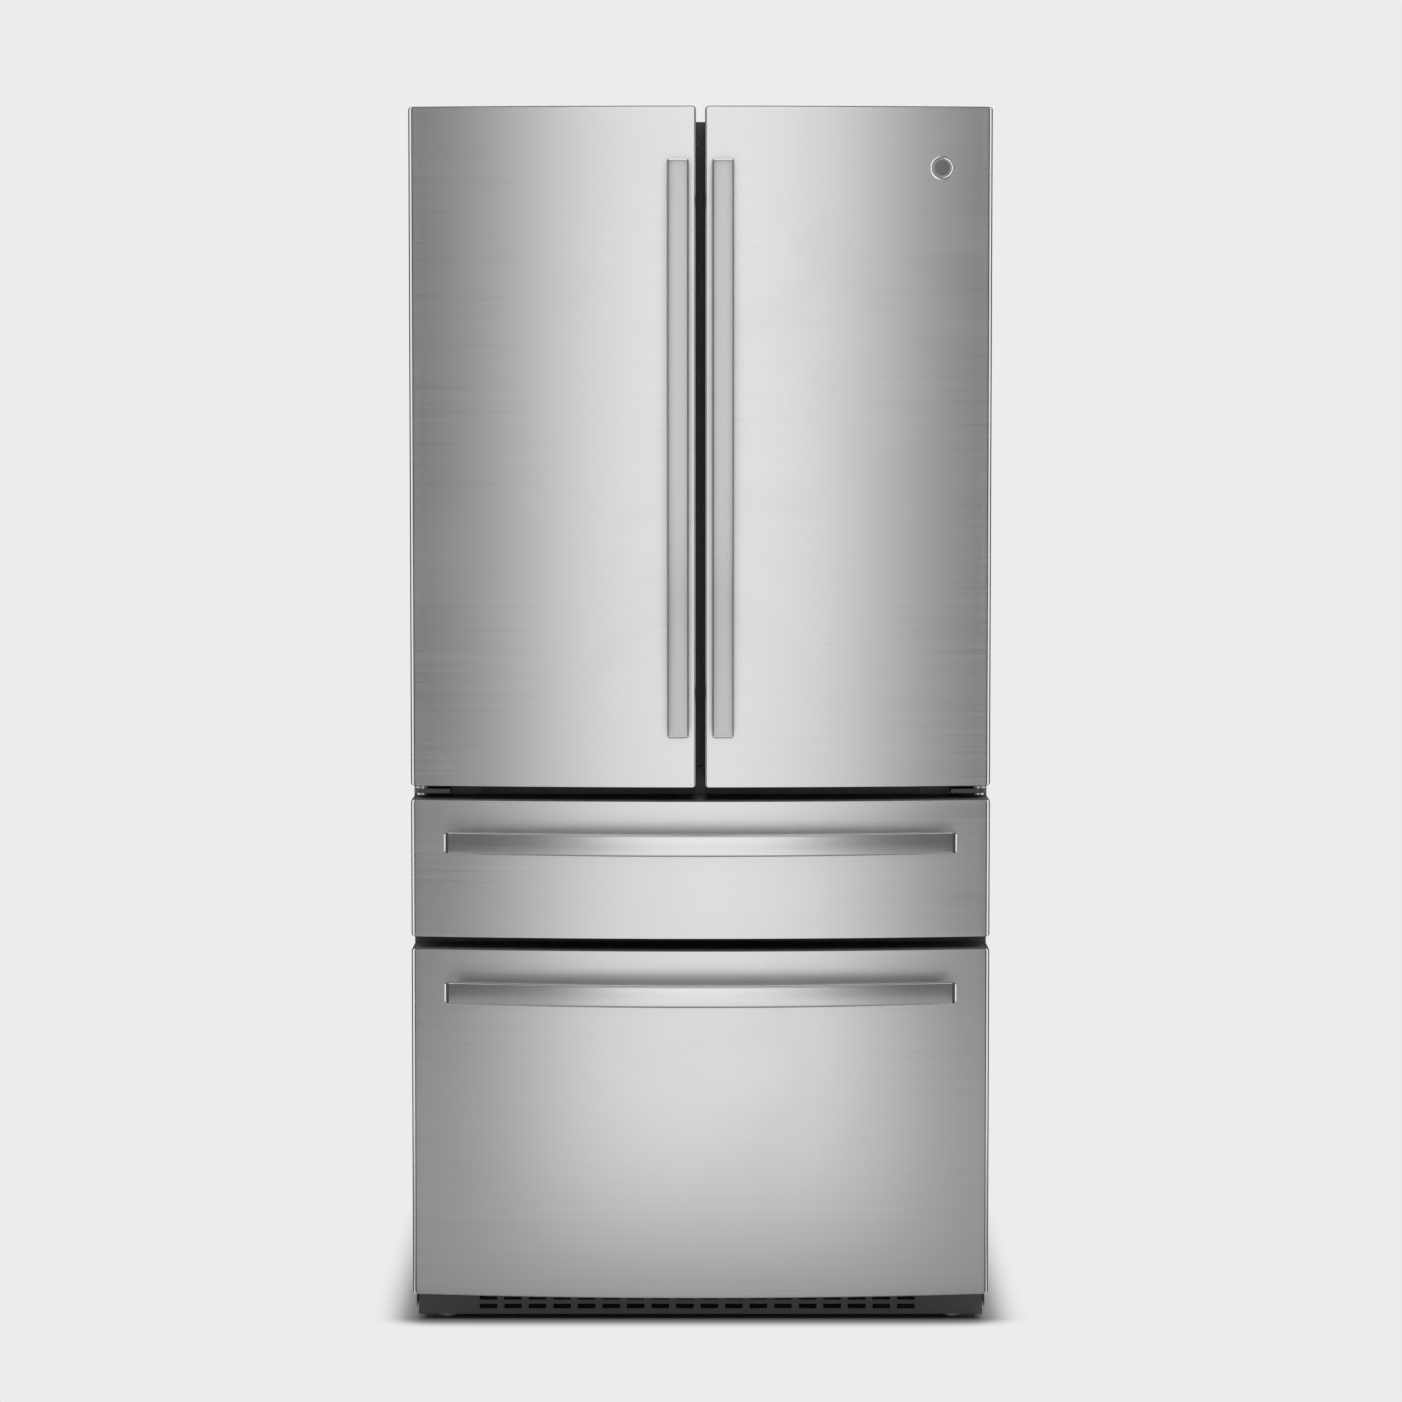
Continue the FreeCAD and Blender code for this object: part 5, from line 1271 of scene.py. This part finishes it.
# ------------------------------------------------------------------ feet, rollers, screws
@dataclass
class Base:
    """Levelling feet on threaded stems, and the rear rollers."""

    leg_x: float = 370.0
    leg_y: float = -244.0
    roller_y: float = 400.0

    def leg(self, side: float) -> tuple[Array, list]:
        """A turned foot and its thread: radius 5.7 plus a small triangle wave of the height."""
        z = np.linspace(13.0, 51.6, 60)
        wave = 0.3 * np.abs(((z / 1.6) % 1.0) * 2 - 1)
        thread = np.stack([5.65 + wave, z], 1)
        foot = np.array([
            (0, 0), (13.8, 0), (15.4, 0.6), (16, 2), (16, 7.4), (15.4, 9), (13.8, 9.8), (9.2, 10.4),
            (8.8, 12.6), (5.8, 12.9)], float)
        profile = np.concatenate([foot, thread, [(0.0, 51.9)]])
        return lathe_surface(profile, np.array([side * self.leg_x, self.leg_y, 0.0]), UP, 40)

    def roller(self, side: float) -> tuple[Array, list]:
        """A grooved roller turned about X."""
        h = np.array([-9, -9, -8.4, -6, -4.6, -4.6, -2, -1.4, 1.4, 2, 4.6, 4.6, 6, 8.4, 9, 9], float)
        r = np.array([0, 18.2, 19.4, 20, 20, 19.2, 19.2, 20, 20, 19.2, 19.2, 20, 20, 19.4, 18.2, 0], float)
        base = np.array([side * self.leg_x, self.roller_y, 20.0])
        return lathe_surface(np.stack([r, h], 1), base, np.array([1.0, 0.0, 0.0]), 48)

    def build(self) -> None:
        """Builds feet and rollers, each on its own body."""
        for side, word in ((-1.0, "left"), (1.0, "right")):
            dress(make_mesh(f"{word}_levelling_foot", *self.leg(side)), ZINC,
                  f"{word}_leg", f"levelling_leg_{word}")
            dress(make_mesh(f"{word}_grooved_roller", *self.roller(side)), GREY_PLASTIC, f"{word}_roller",
                  f"rear_roller_{word}")


@dataclass
class Screws:
    """Hex-washer screws round the back panel and the rear access cover."""

    radius: float = 4.6
    panel_x: tuple[float, ...] = (-404.0, -202.0, 0.0, 202.0, 404.0)
    side_z: tuple[float, ...] = (430.0, 640.0, 850.0, 1060.0, 1270.0, 1480.0, 1690.0)
    rows: tuple[tuple[float, float], ...] = ((342.0, 460.0), (1738.0, 460.0), (318.0, 459.0), (60.0, 459.0))

    def screw(self, x: float, z: float, y: float) -> tuple[Array, list]:
        """A washer face with a hexagonal head: a round profile whose upper rows have six sides."""
        r = self.radius
        washer = np.array([(0, -0.6), (r, -0.6), (r, 0.5), (r - 0.8, 0.9), (0, 0.9)], float)
        head = np.array([(0, 0.4), (r * 0.66, 0.4), (r * 0.66, 2.4), (r * 0.5, 2.8), (0, 2.8)], float)
        place, outward = np.array([x, y - 0.2, z]), np.array([0.0, 1.0, 0.0])
        return joined([lathe_surface(washer, place, outward, 16), lathe_surface(head, place, outward, 6)])

    def build(self) -> None:
        """Builds every screw as one mesh."""
        places = [(x, z, y) for z, y in self.rows for x in self.panel_x]
        places += [(side * 404.0, z, 460.0) for z in self.side_z for side in (-1.0, 1.0)]
        dress(make_mesh("back_screws", *joined([self.screw(*p) for p in places])), ZINC, "cabinet")


# ------------------------------------------------------------------ compressor
@dataclass
class Compressor:
    """Sealed compressor pot on its plate, with feet, a terminal box and pipe stubs."""

    x: float = -230.0
    y: float = 335.0
    deck: float = 46.0
    radius: float = 78.0

    def build(self) -> None:
        """Turns the pot about the upright and adds the pieces round it."""
        r = self.radius
        low = self.deck + 10.0
        turn = np.linspace(0.0, math.pi / 2, 12)
        dome = np.stack([r - 3 - (r - 3) * (1 - np.cos(turn)), 120.0 + 45.0 * np.sin(turn)], 1)
        wall = [(0, 3.0), (r - 12, 3.0), (r - 5, 6.5), (r - 3, 12), (r - 3, 78), (r, 79.5), (r, 84.5),
                (r - 3, 86)]
        profile = np.concatenate([wall, dome])
        profile[-1, 0] = 0.0
        pot = lathe_surface(profile, np.array([self.x, self.y, low]), UP, 72)
        x, y = self.x, self.y
        plate = rounded_block((x - 95, y - 70, low), (x + 95, y + 70, low + 3.2), 14.0, 0.8)
        box = rounded_block((x + 52, y - 30, low + 40), (x + 88, y + 30, low + 92), 6.0, 3.0)
        stub = np.array([(0, 0), (4, 0), (4, 22), (3.2, 23.5), (0, 23.5)], float)
        stubs = [lathe_surface(stub, np.array([x - 20 + 40 * i, y - 40, low + 138]), UP, 20) for i in (0, 1)]
        pieces = joined([pot, plate, box] + stubs)
        dress(make_mesh("compressor_pot", *pieces), BLACK_PAINT, "cabinet", "compressor")
        foot = np.array([
            (0, 0), (10.4, 0), (11, 1), (11, 3.4), (9.4, 5), (11, 6.6), (11, 9), (10.4, 10), (0, 10)], float)
        feet = [lathe_surface(foot, np.array([x + i * 82, y + j * 57, self.deck]), UP, 28)
                for i in (-1, 1) for j in (-1, 1)]
        dress(make_mesh("compressor_grommets", *joined(feet)), SEAL, "cabinet", "compressor")


# ------------------------------------------------------------------ studio
@dataclass
class Studio:
    """Camera, lamps, floor and the pale surroundings."""

    camera_y: float = -6.380
    camera_z: float = 1.4357
    pitch: float = 3.456
    focal: float = 4209.4
    frame_side: float = 1402.0
    shift_up: float = 106.97
    pale: float = 0.839
    sensor: float = 36.0
    fill: float = 0.5
    key: float = 2.0
    key_angle: float = 25.0
    key_tip: float = 38.0
    key_turn: float = 6.0
    flag_near: float = 1120.0
    flag_far: float = 1250.0
    flag_start: float = -1050.0
    flag_end: float = -5000.0
    flag_glow: float = 0.12
    flag_rest: float = 0.42
    screen_glow: float = 1.42
    floor_flag_glow: float = 0.39
    floor_screen_start: float = -500.0
    floor_screen_near: float = 560.0
    floor_screen_far: float = 1750.0
    floor_screen_glow: float = 1.3
    screen_top: float = 4300.0
    screen_shift: float = 55.0
    top_flag_glow: float = 0.6
    flag_top: float = 5200.0
    top_flag_top: float = 5600.0
    screen_y: float = -6700.0
    screen_spare: float = 250.0
    floor_flag_start: float = -420.0
    floor_flag_z: float = 4.0
    floor_screen_z: float = 8.0
    panel_rows: int = 25
    floor_reach: float = 30000.0
    # Where and how fast the floor's painted shadow gives way to the pale glow, beside, ahead and behind.
    painted_shadow_side: tuple[float, float] = (0.402, 11.8)
    painted_shadow_front: tuple[float, float] = (0.264, 15.5)
    painted_shadow_back: tuple[float, float] = (0.46, 6.0)

    def camera(self) -> None:
        """A level camera on the middle plane, tipped down a little, with a small upward shift."""
        data = bpy.data.cameras.new("camera")
        data.sensor_width = self.sensor
        data.sensor_fit = "HORIZONTAL"
        data.lens = self.focal / self.frame_side * self.sensor
        data.shift_y = -self.shift_up / self.frame_side
        data.shift_x = 0.5 / self.frame_side
        data.clip_end = 100.0
        camera = bpy.data.objects.new("camera", data)
        camera.location = (0.0, self.camera_y, self.camera_z)
        camera.rotation_euler = Euler((math.radians(90.0 - self.pitch), 0.0, 0.0))
        bpy.context.scene.collection.objects.link(camera)
        bpy.context.scene.camera = camera

    def world(self) -> None:
        """A pale room to the eye, in steel and through glass; an even soft fill for everything else."""
        world = bpy.data.worlds.new("studio")
        world.use_nodes = True
        bpy.context.scene.world = world
        sheet = NodeSheet(world.node_tree)
        world.node_tree.nodes.clear()
        room = sheet.add("Background", {0: (self.pale, self.pale, self.pale, 1.0), 1: 1.0}).outputs[0]
        fill = sheet.add("Background", {0: (1.0, 1.0, 1.0, 1.0), 1: self.fill}).outputs[0]
        mixed = sheet.add("MixShader", {0: self.seen(sheet), 1: fill, 2: room}).outputs[0]
        sheet.add("OutputWorld", {0: mixed})

    def seen(self, sheet: NodeSheet) -> bpy.types.NodeSocket:
        """One for rays that show the room itself: to the camera, mirrored, or through glass."""
        path = sheet.add("LightPath").outputs
        either = sheet.math("MAXIMUM", path["Is Camera Ray"], path["Is Glossy Ray"])
        return sheet.math("MAXIMUM", either, path["Is Transmission Ray"])

    def lamp(self) -> None:
        """One very soft sun from the upper front."""
        data = bpy.data.lights.new("key", "SUN")
        data.energy = self.key
        data.angle = math.radians(self.key_angle)
        lamp = bpy.data.objects.new("key", data)
        lamp.rotation_euler = Euler((math.radians(self.key_tip), 0.0, math.radians(self.key_turn)))
        lamp.visible_glossy = False
        bpy.context.scene.collection.objects.link(lamp)

    def panel(self, name: str, corners: Array, glow: float, rest: float = 0.0,
              fade: tuple[float, float] = (0.0, 0.0)) -> None:
        """A studio panel that only the steel mirrors: a grid of quads between four corners.

        Args:
            name: name of the panel.
            corners: (4, 3) corners in millimetres, in order round the panel.
            glow: how bright it is.
            rest: how bright its faded borders are.
            fade: shares of its width and of its length over which it rises to full.
        """
        share = np.linspace(0, 1, self.panel_rows)
        s, t = (g.ravel()[:, None] for g in np.meshgrid(share, share))
        low = (1 - s) * (1 - t) * corners[0] + s * (1 - t) * corners[1]
        points = low + s * t * corners[2] + (1 - s) * t * corners[3]
        panel = make_mesh(name, points, grid_faces(self.panel_rows, self.panel_rows))
        aside = np.clip(np.minimum(s, 1 - s) / max(fade[0], 0.001), 0.0, 1.0)
        ahead = np.clip(t / max(fade[1], 0.001), 0.0, 1.0)
        level = (aside * aside * (3 - 2 * aside) * ahead * ahead * (3 - 2 * ahead)).ravel()
        panel.data.attributes.new("level", "FLOAT", "POINT").data.foreach_set("value", level)
        material = bpy.data.materials.new(name)
        material.use_nodes = True
        material.node_tree.nodes.clear()
        sheet = NodeSheet(material.node_tree)
        risen = sheet.add("Attribute", attribute_name="level").outputs["Fac"]
        strength = sheet.math("ADD", sheet.math("MULTIPLY", risen, glow - rest), rest)
        light = sheet.add("Emission", {0: (1.0, 1.0, 1.0, 1.0), 1: strength}).outputs[0]
        sheet.add("OutputMaterial", {0: light})
        panel.data.materials.append(material)
        for kind in ("camera", "diffuse", "shadow", "transmission", "volume_scatter"):
            setattr(panel, f"visible_{kind}", False)

    def panels(self) -> None:
        """Dim flags beside, above and below the front, and bright screens ahead of it."""
        shift = self.screen_shift
        for side, word in ((-1.0, "left"), (1.0, "right")):
            near, far = side * self.flag_near + shift, side * self.flag_far + shift
            self.panel(f"{word}_flag", np.array([
                (far, self.flag_end, 0.0), (far, self.flag_end, self.flag_top),
                (near, self.flag_start, self.flag_top), (near, self.flag_start, 0.0)]),
                self.flag_glow, self.flag_rest, (0.0, 0.6))
        wide, back, top = self.flag_far + self.screen_spare, self.screen_y, self.screen_top
        self.panel("screen", self.upright(-wide + shift, wide + shift, back, -10.0, top), self.screen_glow)
        self.panel("top_flag", self.upright(-wide, wide, back, top, self.top_flag_top), self.top_flag_glow)
        start, z = self.floor_flag_start, self.floor_flag_z
        self.panel("floor_flag", np.array([
            (-wide, start, z), (wide, start, z), (wide, back, z), (-wide, back, z)]), self.floor_flag_glow)
        near, far = self.floor_screen_near, self.floor_screen_far
        start, z = self.floor_screen_start, self.floor_screen_z
        self.panel("floor_screen", np.array([
            (-near + shift, start, z), (near + shift, start, z), (far + shift, back, z),
            (-far + shift, back, z)]), self.floor_screen_glow, self.floor_flag_glow, (0.3, 0.26))

    def upright(self, x0: float, x1: float, y: float, z0: float, z1: float) -> Array:
        """Corners of an upright panel that faces the object."""
        return np.array([(x0, y, z0), (x1, y, z0), (x1, y, z1), (x0, y, z1)])

    def floor(self) -> None:
        """A wide pale floor, its colour darker near the footprint as a painted shadow, where it also takes
        the real shadow.

        An even pale glow takes over with the distance from the footprint: the length of the
        vector (how far x is beyond the sides, how far y is beyond the front or the back), each
        times its own rate and no less than nought.  Where the glow is full, no shadow shows.
        """
        side = np.linspace(-self.floor_reach, self.floor_reach, 9)
        x, y = np.meshgrid(side, side)
        points = np.stack([x.ravel(), y.ravel(), np.full(x.size, 0.0)], 1)
        floor = make_mesh("studio_floor", points, grid_faces(9, 9))
        material = bpy.data.materials.new("pale floor")
        material.use_nodes = True
        sheet = NodeSheet(material.node_tree)
        shader = material.node_tree.nodes["Principled BSDF"]
        shader.inputs["Roughness"].default_value = 0.9
        shader.inputs["Specular IOR Level"].default_value = 0.0
        place = sheet.add("SeparateXYZ", {0: sheet.add("TexCoord").outputs["Object"]}).outputs
        squares = []
        for along, (start, rate) in (
                (sheet.math("ABSOLUTE", place[0]), self.painted_shadow_side),
                (sheet.math("MULTIPLY", place[1], -1.0), self.painted_shadow_front),
                (place[1], self.painted_shadow_back)):
            beyond = sheet.math("MULTIPLY", sheet.math("SUBTRACT", along, start), rate)
            squares.append(sheet.math("POWER", sheet.math("MAXIMUM", beyond, 0.0), 2.0))
        length = sheet.math("SQRT", sheet.math("ADD", sheet.math("ADD", squares[0], squares[1]), squares[2]))
        # Base colour darker near the footprint: a painted shadow round the case.
        sheet.feed(shader.inputs["Base Color"], sheet.ramp(length, ((0.0, 0.16), (0.3, 0.24), (0.9, 0.82))))
        away = sheet.ramp(length, ((0.0, 0.0), (0.4, 0.24), (0.8, 0.8), (1.0, 1.0)))
        glow = sheet.add("Emission", {0: (1.0, 1.0, 1.0, 1.0), 1: self.pale}).outputs[0]
        amount = sheet.math("MULTIPLY", away, self.seen(sheet))
        mixed = sheet.add("MixShader", {0: amount, 1: shader.outputs[0], 2: glow}).outputs[0]
        sheet.feed(material.node_tree.nodes["Material Output"].inputs[0], mixed)
        floor.data.materials.append(material)

    def build(self) -> None:
        """Sets up the whole studio."""
        self.camera()
        self.world()
        self.lamp()
        self.panels()
        self.floor()


# ------------------------------------------------------------------ nodes that keep their CAD shape
KEPT: dict[str, Finish] = {
    "cabinet_wrapper": CASE_PAINT, "front_frame": FRAME_PAINT, "toe_grille": DARK_PLASTIC,
    "back_panel": GALVANISED, "rear_access_cover": GALVANISED, "base_frame": GALVANISED,
    "cabinet_foam": FOAM, "freezer_liner": WHITE_LINER, "fresh_food_liner": WHITE_LINER,
    "middle_liner": WHITE_LINER, "air_covers": WHITE_LINER, "ceiling_light": LENS,
    "shelf_frames": WHITE_LINER, "glass_shelves": SHELF_GLASS, "mullion_guide": WHITE_LINER,
    "cabinet_slides": ZINC, "centre_hinges": HINGE_PAINT, "top_hinges": ZINC,
    "condenser": BLACK_PAINT, "condenser_fan": GREY_PLASTIC,
    "cord_gland": DARK_PLASTIC, "drain_pan": DARK_PLASTIC, "evaporator": ALUMINIUM,
    "evaporator_fan": GREY_PLASTIC,
    "left_door_inner_panel": WHITE_LINER, "right_door_inner_panel": WHITE_LINER,
    "mullion": FRAME_PAINT, "dairy_lid": CLEAR_PLASTIC,
    "middle_drawer_inner_panel": WHITE_LINER, "freezer_drawer_inner_panel": WHITE_LINER,
    "middle_drawer_runners": ZINC, "freezer_drawer_runners": ZINC, "middle_drawer_rails": ZINC,
    "freezer_drawer_rails": ZINC,
}


def dress_kept_nodes() -> None:
    """Gives each node that keeps its CAD shape its finish."""
    for node, finish in KEPT.items():
        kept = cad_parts[node]
        for place in kept.material_slots:
            place.material = finish.material()
        if not kept.material_slots:
            kept.data.materials.append(finish.material())
        LOG.info("node %s keeps its shape in %s", node, finish.name)


def main() -> None:
    """Builds the refrigerator's looks, part by part, then the studio."""
    logging.basicConfig(level=logging.INFO, format="%(name)s: %(message)s")
    bpy.context.scene.view_settings.view_transform = "Standard"
    Doors().build()
    Drawers().build()
    Seals().build()
    Storage().build()
    Shelving().build()
    Hinges().build()
    Base().build()
    Screws().build()
    Compressor().build()
    dress_kept_nodes()
    Studio().build()


if __name__ == "__main__":
    main()
